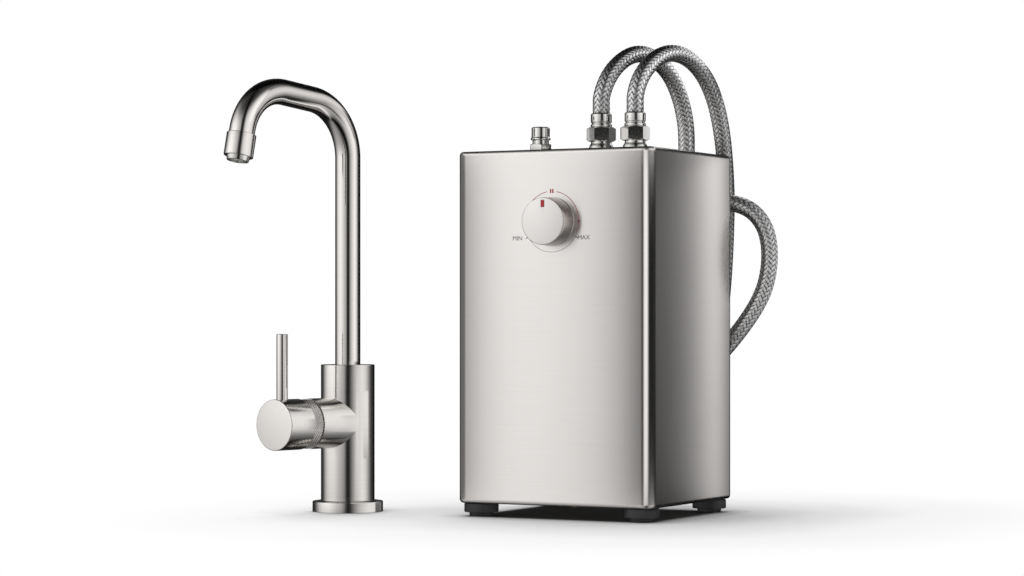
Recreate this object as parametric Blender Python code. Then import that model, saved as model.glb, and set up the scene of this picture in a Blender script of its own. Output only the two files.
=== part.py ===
"""Instant hot water dispenser: an under-sink electric tank on rubber feet, with a thermostat knob and two
braided hoses, and the tall swivel faucet that it feeds. Metres, +Z up, front towards -Y.

The tank is built in its own frame, centred on its footprint. The faucet is built in a second frame, centred
under its riser and turned a little, with its spout and its side branch pointing along that frame's -Y.
"""

import math

import bmesh
import bpy
import numpy as np
from mathutils import Matrix, Vector

# Driving sizes of the tank unit
CASING_WIDTH = 0.160
CASING_DEPTH = 0.146
CASING_HEIGHT = 0.260
CASING_CORNER = 0.008
CASING_FILLET = 0.005
SHEET = 0.0012
FOOT_HEIGHT = 0.010

# Driving sizes of the faucet
FAUCET_GAP = 0.0996
FAUCET_SETBACK = 0.0095
FAUCET_TURN = math.radians(-13.0)
BODY_RADIUS = 0.0204
BODY_TOP = 0.1116
BRANCH_RADIUS = 0.0190
BRANCH_HEIGHT = 0.0676
TUBE_RADIUS = 0.0096
TUBE_WALL = 0.0014
RISER_CORNER_HEIGHT = 0.3067
RUN_LENGTH = 0.1035
RUN_RISE = math.radians(6.5)
NOZZLE_DROP = 0.0547
NOZZLE_TILT = math.radians(11.5)
FIRST_BEND_RADIUS = 0.043
SECOND_BEND_RADIUS = 0.038

# Fits: the gap between pieces that touch, and how far a cutter runs past the face that it opens
GAP = 0.0003
OVERRUN = 0.002

# Facets round a full turn
WIDE_SIDES = 28
ROUND_SIDES = 16
SMALL_SIDES = 12
CORNER_STEPS = 3
FILLET_STEPS = 2
ARC_STEP = math.radians(14.0)
SHARP_ANGLE = math.radians(35.0)
HEX_SIDES = 6

for existing in list(bpy.data.objects):
    bpy.data.objects.remove(existing, do_unlink=True)


# Building helpers

def finish_of(name, colour, roughness, metallic):
    """A Principled material of one colour."""
    made = bpy.data.materials.new(name)
    made.use_nodes = True
    shader = made.node_tree.nodes["Principled BSDF"]
    shader.inputs["Base Color"].default_value = (*colour, 1.0)
    shader.inputs["Roughness"].default_value = roughness
    shader.inputs["Metallic"].default_value = metallic
    return made


def brushed_steel(name):
    return finish_of(name, (0.70, 0.69, 0.67), 0.28, 1.0)


def bright_steel(name):
    return finish_of(name, (0.76, 0.75, 0.73), 0.18, 1.0)


def brass(name):
    return finish_of(name, (0.72, 0.55, 0.28), 0.30, 1.0)


def copper(name):
    return finish_of(name, (0.80, 0.45, 0.30), 0.30, 1.0)


def rubber(name):
    return finish_of(name, (0.045, 0.045, 0.045), 0.75, 0.0)


def pale_plastic(name):
    return finish_of(name, (0.75, 0.74, 0.70), 0.50, 0.0)


def foam(name):
    return finish_of(name, (0.80, 0.79, 0.76), 0.90, 0.0)


def frame_at(name, place, turn=(0.0, 0.0, 0.0), parent=None):
    """An empty that carries a group of pieces or marks a joint's axis."""
    empty = bpy.data.objects.new(name, None)
    bpy.context.collection.objects.link(empty)
    empty.location = place
    empty.rotation_euler = turn
    empty.parent = parent
    return empty


def piece(name, bm, finish, parent, place=(0.0, 0.0, 0.0), turn=(0.0, 0.0, 0.0)):
    """Close off a bmesh as a named object with outward faces and its own material."""
    bmesh.ops.recalc_face_normals(bm, faces=bm.faces)
    mesh = bpy.data.meshes.new(name)
    bm.to_mesh(mesh)
    bm.free()
    mesh.shade_smooth()
    mesh.set_sharp_from_angle(angle=SHARP_ANGLE)
    made = bpy.data.objects.new(name, mesh)
    bpy.context.collection.objects.link(made)
    made.parent = parent
    made.location = place
    made.rotation_euler = turn
    if finish is not None:
        mesh.materials.append(finish(name))
    return made


def turned(profile, sides=ROUND_SIDES, ring=False, start=0.0):
    """Turn an outline of (radius, height) points about Z. Flat discs close its two ends, unless it is a ring."""
    angles = [start + 2 * math.pi * i / sides for i in range(sides)]
    rings = [[(radius * math.cos(a), radius * math.sin(a), height) for a in angles] for radius, height in profile]
    return loft(rings, ring)


def bore_radius(radius, sides=ROUND_SIDES):
    """The corner radius of a faceted bore whose flats still clear a shaft of this radius by one gap."""
    return (radius + GAP) / math.cos(math.pi / sides)


def rounded_rectangle(width, depth, corner, steps=CORNER_STEPS):
    """Outline points of a rectangle with round corners, anticlockwise from its +X side."""
    points = []
    for sign_x, sign_y, start in ((1, -1, -90), (1, 1, 0), (-1, 1, 90), (-1, -1, 180)):
        for step in range(steps + 1):
            angle = math.radians(start + 90 * step / steps)
            x = sign_x * (width / 2 - corner) + corner * math.cos(angle)
            y = sign_y * (depth / 2 - corner) + corner * math.sin(angle)
            points.append((x, y))
    return points


def loft(rings, ring=False):
    """Skin a row of rings that have equal counts. The ends are capped, or joined where the row is a ring itself."""
    bm = bmesh.new()
    rows = [[bm.verts.new(point) for point in row] for row in rings]
    pairs = list(zip(rows, rows[1:]))
    if ring:
        pairs.append((rows[-1], rows[0]))
    for low, high in pairs:
        for i in range(len(low)):
            j = (i + 1) % len(low)
            bm.faces.new((low[i], low[j], high[j], high[i]))
    if not ring:
        bm.faces.new(rows[0])
        bm.faces.new(rows[-1])
    return bm


def box(width, depth, height, centre):
    """A plain block, for cuts and small moulded parts."""
    bm = bmesh.new()
    scale = Matrix.Diagonal((width, depth, height, 1.0))
    bmesh.ops.create_cube(bm, size=1.0, matrix=Matrix.Translation(centre) @ scale)
    return bm


def rod(radius, low, high, sides=ROUND_SIDES):
    """A plain cylinder about Z between two heights, with a flat and not a corner on each axis."""
    return turned([(radius, low), (radius, high)], sides, start=math.pi / sides)


def hexagon(across_flats, low, high):
    """A hexagonal prism about Z with its corners eased at both ends, one flat facing -Y."""
    corner = across_flats / 2 / math.cos(math.pi / HEX_SIDES)
    eased = corner - HEX_EASE
    rings = []
    for radius, height in ((eased, low), (corner, low + HEX_EASE), (corner, high - HEX_EASE), (eased, high)):
        angles = [2 * math.pi * i / HEX_SIDES for i in range(HEX_SIDES)]
        rings.append([(radius * math.cos(a), radius * math.sin(a), height) for a in angles])
    return loft(rings)


def tube_along(points, radius, bore=0.0, sides=ROUND_SIDES):
    """Sweep a round section along a line of points that lies in the frame's YZ plane, with an open bore."""
    rings = []
    for size in (radius, bore):
        row = []
        for i, point in enumerate(points):
            before = points[max(i - 1, 0)]
            after = points[min(i + 1, len(points) - 1)]
            along = (after - before).normalized()
            across = Vector((1.0, 0.0, 0.0))
            up = along.cross(across)
            turns = [2 * math.pi * k / sides for k in range(sides)]
            row.append([point + size * (math.cos(a) * across + math.sin(a) * up) for a in turns])
        rings.append(row)
    if bore == 0.0:
        return loft(rings[0])
    return loft(rings[0] + rings[1][::-1], ring=True)


def combine(target, tools, how):
    """Add one exact Boolean modifier for each tool. The tools are hidden guides."""
    for tool in tools:
        tool.hide_render = True
        tool.display_type = "WIRE"
        step = target.modifiers.new(tool.name, "BOOLEAN")
        step.operation = how
        step.object = tool


def cut(target, *tools):
    combine(target, tools, "DIFFERENCE")


def join(target, *tools):
    combine(target, tools, "UNION")


def filleted(corners, radii):
    """Points of a line through corners in a plane, each inner corner rounded to its own radius."""
    points = [corners[0]]
    for before, corner, after, radius in zip(corners, corners[1:], corners[2:], radii):
        back = (before - corner).normalized()
        on = (after - corner).normalized()
        turn = math.pi - back.angle(on)
        reach = radius * math.tan(turn / 2)
        start = corner + back * reach
        centre = corner + (back + on).normalized() * (radius / math.cos(turn / 2))
        steps = max(2, math.ceil(turn / ARC_STEP))
        axis = back.cross(on).normalized()
        for step in range(steps + 1):
            swing = Matrix.Rotation(-turn * step / steps, 3, axis)
            points.append(centre + swing @ (start - centre))
    points.append(corners[-1])
    return points


# Where the two frames stand: the origin is the middle of the whole footprint, hoses left out

HANDLE_FACE = 0.0777
COLLAR_RADIUS = 0.0109
GLAND_REACH = 0.0150

forward = Vector((math.sin(FAUCET_TURN), -math.cos(FAUCET_TURN), 0.0))
upward = Vector((0.0, 0.0, 1.0))
run_end_reach = RUN_LENGTH * math.cos(RUN_RISE)
nozzle_reach = run_end_reach + NOZZLE_DROP * math.sin(NOZZLE_TILT)
nozzle_axis = forward * math.sin(NOZZLE_TILT) - upward * math.cos(NOZZLE_TILT)


def disc_reach(centre, normal, radius, direction):
    """How far a flat round face reaches along a direction."""
    across = normal.dot(direction)
    return centre.dot(direction) + radius * math.sqrt(1.0 - across * across)


faucet_x = -CASING_WIDTH / 2 - FAUCET_GAP
faucet_y = -CASING_DEPTH / 2 + FAUCET_SETBACK
leftward = Vector((-1.0, 0.0, 0.0))
frontward = Vector((0.0, -1.0, 0.0))
nozzle_end = forward * nozzle_reach
handle_end = forward * HANDLE_FACE
left_reach = max(
    disc_reach(nozzle_end, nozzle_axis, COLLAR_RADIUS, leftward),
    disc_reach(handle_end, forward, BRANCH_RADIUS, leftward),
)
front_reach = disc_reach(nozzle_end, nozzle_axis, COLLAR_RADIUS, frontward)
middle_x = (CASING_WIDTH / 2 + faucet_x - left_reach) / 2
middle_y = (CASING_DEPTH / 2 + GLAND_REACH + faucet_y - front_reach) / 2

tank = frame_at("tank_frame", (-middle_x, -middle_y, 0.0))
faucet = frame_at("faucet_frame", (faucet_x - middle_x, faucet_y - middle_y, 0.0), (0.0, 0.0, FAUCET_TURN))
casing_low = FOOT_HEIGHT
casing_high = FOOT_HEIGHT + CASING_HEIGHT
FACE_FRONT = (math.pi / 2, 0.0, 0.0)


# Casing: a folded and welded steel shell with rounded edges, open below and with a rear service window

CASING_LIP = 0.022
PANEL_WIDTH = 0.138
PANEL_HEIGHT = 0.236
PANEL_OVERLAP = 0.010
WINDOW_WIDTH = PANEL_WIDTH - 2 * PANEL_OVERLAP
WINDOW_HEIGHT = PANEL_HEIGHT - 2 * PANEL_OVERLAP
WINDOW_CORNER = 0.006
PORT_ROW = -0.010
LEFT_PORT_X = 0.009
RIGHT_PORT_X = 0.037
VENT_X = -0.042
PORT_TAIL_RADIUS = 0.0068
VENT_TAIL_RADIUS = 0.0055
DIAL_HEIGHT = 0.217
NECK_RADIUS = 0.0050
FOOT_INSET = 0.014
STEM_RADIUS = 0.0032
foot_x = CASING_WIDTH / 2 - FOOT_INSET
foot_y = CASING_DEPTH / 2 - FOOT_INSET
corners = [("front_left", -1, -1), ("front_right", 1, -1), ("back_left", -1, 1), ("back_right", 1, 1)]


def shell_rings(wall):
    """Rings of the shell's skin, from its lower lip up to the top, at this depth inside the outer face."""
    width = CASING_WIDTH - 2 * wall
    depth = CASING_DEPTH - 2 * wall
    corner = CASING_CORNER - wall
    fillet = CASING_FILLET - wall
    rings = [[]]
    for x, y in rounded_rectangle(CASING_WIDTH - 2 * CASING_LIP, CASING_DEPTH - 2 * CASING_LIP, corner):
        rings[0].append((x, y, casing_low + wall))
    for low in (True, False):
        for step in range(FILLET_STEPS + 1):
            swing = math.pi / 2 * step / FILLET_STEPS
            inset = fillet * (1 - (math.sin(swing) if low else math.cos(swing)))
            rise = fillet * (1 - (math.cos(swing) if low else math.sin(swing)))
            height = casing_low + wall + rise if low else casing_high - wall - rise
            outline = rounded_rectangle(width - 2 * inset, depth - 2 * inset, corner - inset * corner / (2 * fillet))
            rings.append([(x, y, height) for x, y in outline])
    return rings


inner = shell_rings(SHEET)
outer = shell_rings(0.0)
casing = piece("casing_shell", loft(inner[::-1] + outer), brushed_steel, tank)
window = piece(
    "window_cutter",
    loft([
        [(x, y, height) for x, y in rounded_rectangle(WINDOW_WIDTH, WINDOW_HEIGHT, WINDOW_CORNER, FILLET_STEPS)]
        for height in (-OVERRUN, SHEET + OVERRUN)
    ]),
    None, tank, (0.0, CASING_DEPTH / 2, casing_low + CASING_HEIGHT / 2), FACE_FRONT,
)
cutters = [window]
for name, x, radius in (
    ("left_port_cutter", LEFT_PORT_X, PORT_TAIL_RADIUS),
    ("right_port_cutter", RIGHT_PORT_X, PORT_TAIL_RADIUS),
    ("vent_port_cutter", VENT_X, VENT_TAIL_RADIUS),
):
    hole = rod(bore_radius(radius), -SHEET - OVERRUN, OVERRUN)
    cutters.append(piece(name, hole, None, tank, (x, PORT_ROW, casing_high)))
hole = rod(bore_radius(NECK_RADIUS), -SHEET - OVERRUN, OVERRUN)
cutters.append(piece("neck_cutter", hole, None, tank, (0.0, -CASING_DEPTH / 2, DIAL_HEIGHT), FACE_FRONT))
stem_cutters = []
for name, side_x, side_y in corners:
    hole = rod(bore_radius(STEM_RADIUS, SMALL_SIDES), casing_low - OVERRUN, casing_low + 2 * OVERRUN, SMALL_SIDES)
    stem_cutters.append(piece(f"stem_cutter_{name}", hole, None, tank, (side_x * foot_x, side_y * foot_y, 0.0)))
cut(casing, *cutters, *stem_cutters)


# Base plate: a flat steel pan inside the lip, holed for the push-in feet and the drain

PLATE_THICKNESS = 0.0015
DRAIN_Y = -0.030
DRAIN_RADIUS = 0.0060
plate_low = casing_low + SHEET + GAP
plate_high = plate_low + PLATE_THICKNESS
plate_width = CASING_WIDTH - 2 * (SHEET + CASING_FILLET)
plate_depth = CASING_DEPTH - 2 * (SHEET + CASING_FILLET)
plate_rings = [
    [(x, y, height) for x, y in rounded_rectangle(plate_width, plate_depth, CASING_FILLET, FILLET_STEPS)]
    for height in (plate_low, plate_high)
]
base_plate = piece("base_plate", loft(plate_rings), brushed_steel, tank)
hole = rod(bore_radius(DRAIN_RADIUS), plate_low - OVERRUN, plate_high + OVERRUN)
cut(base_plate, piece("drain_cutter", hole, None, tank, (0.0, DRAIN_Y, 0.0)), *stem_cutters)


# Feet: stepped rubber, each with a stem that pushes through the casing and the base plate

FOOT_RADIUS = 0.01275
PAD_RADIUS = 0.0090
PAD_HEIGHT = 0.0030
FOOT_EASE = 0.0005
BARB_RADIUS = 0.0038
BARB_RISE = 0.0022
foot_top = FOOT_HEIGHT - GAP
barb_low = plate_high + GAP
foot_profile = [
    (PAD_RADIUS, 0.0),
    (PAD_RADIUS, PAD_HEIGHT),
    (FOOT_RADIUS - FOOT_EASE, PAD_HEIGHT),
    (FOOT_RADIUS, PAD_HEIGHT + FOOT_EASE),
    (FOOT_RADIUS, foot_top - FOOT_EASE),
    (FOOT_RADIUS - FOOT_EASE, foot_top),
    (STEM_RADIUS, foot_top),
    (STEM_RADIUS, barb_low),
    (BARB_RADIUS, barb_low),
    (STEM_RADIUS - FOOT_EASE, barb_low + BARB_RISE),
]
for name, side_x, side_y in corners:
    piece(f"foot_{name}", turned(foot_profile, SMALL_SIDES), rubber, tank, (side_x * foot_x, side_y * foot_y, 0.0))


# Back panel: pressed sheet over the rear window, with a raised field

PANEL_CORNER = 0.008
FIELD_INSET = 0.016
FIELD_SLOPE = 0.002
FIELD_RISE = 0.0015
panel_rings = []
for inset, height in (
    (FIELD_INSET + FIELD_SLOPE + SHEET, FIELD_RISE),
    (FIELD_INSET + SHEET, 0.0),
    (0.0, 0.0),
    (0.0, SHEET),
    (FIELD_INSET, SHEET),
    (FIELD_INSET + FIELD_SLOPE, SHEET + FIELD_RISE),
):
    outline = rounded_rectangle(PANEL_WIDTH - 2 * inset, PANEL_HEIGHT - 2 * inset, PANEL_CORNER, FILLET_STEPS)
    panel_rings.append([(x, y, height) for x, y in outline])
back_face = CASING_DEPTH / 2
panel_middle = casing_low + CASING_HEIGHT / 2
FACE_BACK = (-math.pi / 2, 0.0, 0.0)
back_panel = piece("back_panel", loft(panel_rings), brushed_steel, tank, (0.0, back_face + GAP, panel_middle), FACE_BACK)


# Lead gland: a rubber gland in the back panel, closed by its membrane until a mains lead is fitted

GLAND_SIDE = 0.023
GLAND_RISE = 0.042
GLAND_X = GLAND_SIDE - PANEL_WIDTH / 2
GLAND_Z = panel_middle - PANEL_HEIGHT / 2 + GLAND_RISE
GLAND_TAIL_RADIUS = 0.0070
GLAND_MOUTH_RADIUS = 0.0042
GLAND_MOUTH_DEPTH = 0.0030
GLAND_FLANGE_RADIUS = 0.0110
GLAND_FLANGE = 0.0030
GLAND_NOSE_RADIUS = 0.0085
GLAND_TIP_RADIUS = 0.0066
GLAND_TAIL = 0.008
field_face = GAP + SHEET + FIELD_RISE
hole = rod(bore_radius(GLAND_TAIL_RADIUS), -OVERRUN, field_face + OVERRUN)
cut(back_panel, piece("gland_cutter", hole, None, tank, (GLAND_X, back_face, GLAND_Z), FACE_BACK))
gland_seat = field_face + GAP
gland_profile = [
    (GLAND_TAIL_RADIUS, -GLAND_TAIL),
    (GLAND_TAIL_RADIUS, gland_seat),
    (GLAND_FLANGE_RADIUS, gland_seat),
    (GLAND_FLANGE_RADIUS, gland_seat + GLAND_FLANGE),
    (GLAND_NOSE_RADIUS, gland_seat + GLAND_FLANGE),
    (GLAND_TIP_RADIUS, GLAND_REACH),
    (GLAND_MOUTH_RADIUS, GLAND_REACH),
    (GLAND_MOUTH_RADIUS, GLAND_REACH - GLAND_MOUTH_DEPTH),
]
piece("lead_gland", turned(gland_profile, SMALL_SIDES), rubber, tank, (GLAND_X, back_face, GLAND_Z), FACE_BACK)


# Vessel: the stainless tank inside, with dished ends, an element boss below and pipe holes above

VESSEL_RADIUS = 0.0525
VESSEL_WALL = 0.0012
VESSEL_LOW = 0.048
VESSEL_HIGH = 0.196
DISH_HEIGHT = 0.020
BOSS_BORE = 0.014
PIPE_RADIUS = 0.0050
PIPE_BORE = 0.0040
WELL_RADIUS = 0.0050
WELL_X = -0.016
WELL_Y = -0.016
dish_shares = [(0.55, 0.0), (0.76, 0.10), (0.92, 0.42), (1.0, 1.0)]


def vessel_skin(wall):
    """Half outline from the boss round the lower dish, up the side and over the top dish to its flat crown."""
    radius = VESSEL_RADIUS - wall
    dish = DISH_HEIGHT - wall
    points = [(BOSS_BORE, VESSEL_LOW + wall)]
    points += [(radius * wide, VESSEL_LOW + wall + dish * rise) for wide, rise in dish_shares]
    points += [(radius * wide, VESSEL_HIGH - wall - dish * rise) for wide, rise in dish_shares[::-1]]
    return points


vessel_profile = vessel_skin(VESSEL_WALL)[::-1] + vessel_skin(0.0)
vessel = piece("inner_vessel", turned(vessel_profile), bright_steel, tank)
vessel_cutters = []
for name, x, y, radius in (
    ("hot_hole", LEFT_PORT_X, PORT_ROW, PIPE_RADIUS),
    ("cold_hole", RIGHT_PORT_X, PORT_ROW, PIPE_RADIUS),
    ("vent_hole", VENT_X, PORT_ROW, PIPE_RADIUS),
    ("well_hole", WELL_X, WELL_Y, WELL_RADIUS),
):
    hole = rod(bore_radius(radius, SMALL_SIDES), VESSEL_HIGH - DISH_HEIGHT, VESSEL_HIGH + OVERRUN, SMALL_SIDES)
    vessel_cutters.append(piece(name, hole, None, tank, (x, y, 0.0)))
cut(vessel, *vessel_cutters)


# Vessel stand: a rolled steel skirt that carries the vessel on the base plate

STAND_RADIUS = 0.043
STAND_WALL = 0.002
stand_high = VESSEL_LOW + DISH_HEIGHT * dish_shares[1][1] + GAP
stand_low = plate_high + GAP
stand_profile = [
    (STAND_RADIUS - STAND_WALL, stand_low),
    (STAND_RADIUS, stand_low),
    (STAND_RADIUS, stand_high),
    (STAND_RADIUS - STAND_WALL, stand_high),
]
piece("vessel_stand", turned(stand_profile, ring=True), brushed_steel, tank)


# Insulation: two moulded foam half shells round the vessel's side

FOAM_THICKNESS = 0.006
foam_low = VESSEL_LOW + DISH_HEIGHT
foam_high = VESSEL_HIGH - DISH_HEIGHT
foam_inner = VESSEL_RADIUS + GAP / math.cos(math.pi / ROUND_SIDES)
foam_outer = foam_inner + FOAM_THICKNESS
for name, start in (("insulation_front", math.pi), ("insulation_back", 0.0)):
    outline = []
    for radius, order in ((foam_inner, 1), (foam_outer, -1)):
        edge = math.asin(GAP / radius)
        arc = [
            start + edge + (math.pi - 2 * edge) * step / (ROUND_SIDES / 2)
            for step in range(ROUND_SIDES // 2 + 1)
        ]
        outline += [(radius * math.cos(a), radius * math.sin(a)) for a in arc[::order]]
    foam_rings = [[(x, y, height) for x, y in outline] for height in (foam_low, foam_high)]
    piece(name, loft(foam_rings), foam, tank)


# Heating element: a sheathed loop on a round head, screwed up into the vessel's boss over a gasket

GASKET_THICKNESS = 0.002
GASKET_RADIUS = 0.022
HEAD_THICKNESS = 0.004
HEAD_HEX = 0.030
HEAD_HEX_HEIGHT = 0.008
HEX_EASE = 0.0008
ELEMENT_RADIUS = 0.0040
ELEMENT_HALF = 0.0085
ELEMENT_TOP = 0.150
gasket_high = VESSEL_LOW - GAP
gasket_low = gasket_high - GASKET_THICKNESS
head_high = gasket_low - GAP
head_low = head_high - HEAD_THICKNESS
gasket_profile = [
    (BOSS_BORE, gasket_low),
    (GASKET_RADIUS, gasket_low),
    (GASKET_RADIUS, gasket_high),
    (BOSS_BORE, gasket_high),
]
piece("element_gasket", turned(gasket_profile, ring=True), rubber, tank)
element_head = piece("element_head", rod(GASKET_RADIUS, head_low, head_high), brass, tank)
head_hex = hexagon(HEAD_HEX, head_low - HEAD_HEX_HEIGHT, head_low + HEX_EASE)
join(element_head, piece("head_hex_tool", head_hex, None, tank))
element_line = filleted(
    [
        Vector((0.0, -ELEMENT_HALF, head_high + GAP)),
        Vector((0.0, -ELEMENT_HALF, ELEMENT_TOP)),
        Vector((0.0, ELEMENT_HALF, ELEMENT_TOP)),
        Vector((0.0, ELEMENT_HALF, head_high + GAP)),
    ],
    [ELEMENT_HALF - GAP, ELEMENT_HALF - GAP],
)
element = tube_along(element_line, ELEMENT_RADIUS, sides=SMALL_SIDES)
piece("heating_element", element, bright_steel, tank)


# Drain: a short tube from the vessel to the base plate, closed by a hexagonal plug from below

DRAIN_BORE = 0.0036
PLUG_HEX = 0.013
PLUG_HEAD = 0.0040
PLUG_SHANK_RADIUS = 0.0030
PLUG_SHANK = 0.010
DRAIN_FLANGE_RADIUS = 0.0090
DRAIN_FLANGE = 0.002
drain_low = plate_low
drain_profile = [
    (DRAIN_BORE, drain_low),
    (DRAIN_RADIUS, drain_low),
    (DRAIN_RADIUS, plate_high + GAP),
    (DRAIN_FLANGE_RADIUS, plate_high + GAP),
    (DRAIN_FLANGE_RADIUS, plate_high + GAP + DRAIN_FLANGE),
    (DRAIN_RADIUS, plate_high + GAP + DRAIN_FLANGE),
    (DRAIN_RADIUS, VESSEL_LOW - GAP),
    (DRAIN_BORE, VESSEL_LOW - GAP),
]
piece("drain_tube", turned(drain_profile, SMALL_SIDES, ring=True), bright_steel, tank, (0.0, DRAIN_Y, 0.0))
plug_high = drain_low - GAP
drain_plug = piece("drain_plug", hexagon(PLUG_HEX, plug_high - PLUG_HEAD, plug_high), brass, tank, (0.0, DRAIN_Y, 0.0))
plug_shank = rod(PLUG_SHANK_RADIUS, plug_high - HEX_EASE, plug_high + PLUG_SHANK, SMALL_SIDES)
join(drain_plug, piece("plug_shank_tool", plug_shank, None, tank, (0.0, DRAIN_Y, 0.0)))


# Thermostat: a body behind the front panel, its panel nut, and a liquid bulb in a well in the vessel

THERMOSTAT_WIDTH = 0.034
THERMOSTAT_DEPTH = 0.016
NECK_REACH = 0.0040
SPINDLE_RADIUS = 0.0030
SPINDLE_INNER = -0.0120
PANEL_NUT_HEX = 0.0140
PANEL_NUT_HEIGHT = 0.0027
dial = frame_at("dial_axis", (0.0, -CASING_DEPTH / 2, DIAL_HEIGHT), FACE_FRONT, tank)
body_face = -SHEET - GAP
thermostat = piece(
    "thermostat_body",
    box(THERMOSTAT_WIDTH, THERMOSTAT_WIDTH, THERMOSTAT_DEPTH, (0.0, 0.0, body_face - THERMOSTAT_DEPTH / 2)),
    pale_plastic, dial,
)
join(thermostat, piece("neck_tool", rod(NECK_RADIUS, body_face - OVERRUN, NECK_REACH), None, dial))
spindle_bore = rod(bore_radius(SPINDLE_RADIUS), SPINDLE_INNER - GAP, NECK_REACH + OVERRUN)
cut(thermostat, piece("spindle_cutter", spindle_bore, None, dial))
panel_nut = piece("thermostat_nut", hexagon(PANEL_NUT_HEX, GAP, GAP + PANEL_NUT_HEIGHT), brass, dial)
nut_bore = rod(bore_radius(NECK_RADIUS), -OVERRUN, PANEL_NUT_HEIGHT + OVERRUN)
cut(panel_nut, piece("panel_nut_cutter", nut_bore, None, dial))

WELL_HEAD_RADIUS = 0.0075
WELL_HEAD = 0.006
WELL_LOW = 0.120
BULB_RADIUS = 0.0032
BULB_TOP = 0.206
well_bore = bore_radius(BULB_RADIUS, SMALL_SIDES)
well_profile = [
    (WELL_RADIUS, WELL_LOW),
    (WELL_RADIUS, VESSEL_HIGH + GAP),
    (WELL_HEAD_RADIUS, VESSEL_HIGH + GAP),
    (WELL_HEAD_RADIUS, VESSEL_HIGH + GAP + WELL_HEAD),
    (well_bore, VESSEL_HIGH + GAP + WELL_HEAD),
    (well_bore, WELL_LOW + SHEET),
]
piece("thermowell", turned(well_profile, SMALL_SIDES), copper, tank, (WELL_X, WELL_Y, 0.0))
bulb = rod(BULB_RADIUS, WELL_LOW + SHEET + GAP, BULB_TOP, SMALL_SIDES)
piece("thermostat_bulb", bulb, copper, tank, (WELL_X, WELL_Y, 0.0))

CAPILLARY_RADIUS = 0.0010
CAPILLARY_TOP = 0.258
CAPILLARY_BEND = 0.008
capillary_y = -CASING_DEPTH / 2 - body_face + THERMOSTAT_DEPTH / 2
capillary_line = filleted(
    [
        Vector((0.0, capillary_y, DIAL_HEIGHT + THERMOSTAT_WIDTH / 2 + GAP)),
        Vector((0.0, capillary_y, CAPILLARY_TOP)),
        Vector((0.0, WELL_Y, CAPILLARY_TOP)),
        Vector((0.0, WELL_Y, BULB_TOP + GAP)),
    ],
    [CAPILLARY_BEND, CAPILLARY_BEND],
)
capillary = tube_along(capillary_line, CAPILLARY_RADIUS, sides=HEX_SIDES)
piece("capillary_tube", capillary, copper, tank, (WELL_X, 0.0, 0.0))

CUTOUT_RADIUS = 0.0085
CUTOUT_HEIGHT = 0.006
CUTOUT_X = 0.006
CUTOUT_Y = 0.018
cutout = rod(CUTOUT_RADIUS, VESSEL_HIGH + GAP, VESSEL_HIGH + GAP + CUTOUT_HEIGHT)
piece("thermal_cutout", cutout, pale_plastic, tank, (CUTOUT_X, CUTOUT_Y, 0.0))

BLOCK_WIDTH = 0.016
BLOCK_DEPTH = 0.016
BLOCK_HEIGHT = 0.014
BLOCK_SIDE = 0.019
BLOCK_AHEAD = 0.015
block_centre = (BLOCK_SIDE - CASING_WIDTH / 2, foot_y - BLOCK_AHEAD, plate_high + GAP + BLOCK_HEIGHT / 2)
piece("terminal_block", box(BLOCK_WIDTH, BLOCK_DEPTH, BLOCK_HEIGHT, block_centre), pale_plastic, tank)


# Control knob: a turned skirt knob on the spindle, with a red pointer let into its face

KNOB_FRONT_RADIUS = 0.0171
KNOB_REAR_RADIUS = 0.0178
KNOB_FACE = 0.0146
KNOB_EASE = 0.0007
KNOB_STAND = 0.0006
KNOB_BORE = 0.0155
KNOB_ROOF = 0.0110
HUB_RADIUS = 0.0060
HUB_SOCKET = 0.0100
POINTER_WIDTH = 0.0026
POINTER_LENGTH = 0.0050
POINTER_OFFSET = 0.0127
POINTER_THICKNESS = 0.0007
knob_pivot = frame_at("knob_pivot", (0.0, -CASING_DEPTH / 2, DIAL_HEIGHT), FACE_FRONT, tank)
hub_low = NECK_REACH + KNOB_STAND
socket = bore_radius(SPINDLE_RADIUS)
knob_profile = [
    (KNOB_FRONT_RADIUS - KNOB_EASE, KNOB_FACE),
    (KNOB_FRONT_RADIUS, KNOB_FACE - KNOB_EASE),
    (KNOB_REAR_RADIUS, KNOB_STAND),
    (KNOB_BORE, KNOB_STAND),
    (KNOB_BORE, KNOB_ROOF),
    (HUB_RADIUS, KNOB_ROOF),
    (HUB_RADIUS, hub_low),
    (socket, hub_low),
    (socket, HUB_SOCKET),
]
knob = piece("control_knob", turned(knob_profile, WIDE_SIDES), brushed_steel, knob_pivot)
pocket = box(
    POINTER_WIDTH + 2 * GAP, POINTER_LENGTH + 2 * GAP, 2 * POINTER_THICKNESS,
    (0.0, POINTER_OFFSET, KNOB_FACE),
)
cut(knob, piece("pointer_cutter", pocket, None, knob_pivot))
pointer = box(
    POINTER_WIDTH, POINTER_LENGTH, POINTER_THICKNESS,
    (0.0, POINTER_OFFSET, KNOB_FACE - POINTER_THICKNESS / 2 + GAP),
)
piece("knob_pointer", pointer, lambda name: finish_of(name, (0.45, 0.02, 0.03), 0.4, 0.0), knob_pivot)
piece("thermostat_spindle", rod(SPINDLE_RADIUS, SPINDLE_INNER, HUB_SOCKET - GAP), brass, knob_pivot)


# Pipes: three tubes from the top fittings down into the vessel, the cold one reaching to its bottom

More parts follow.
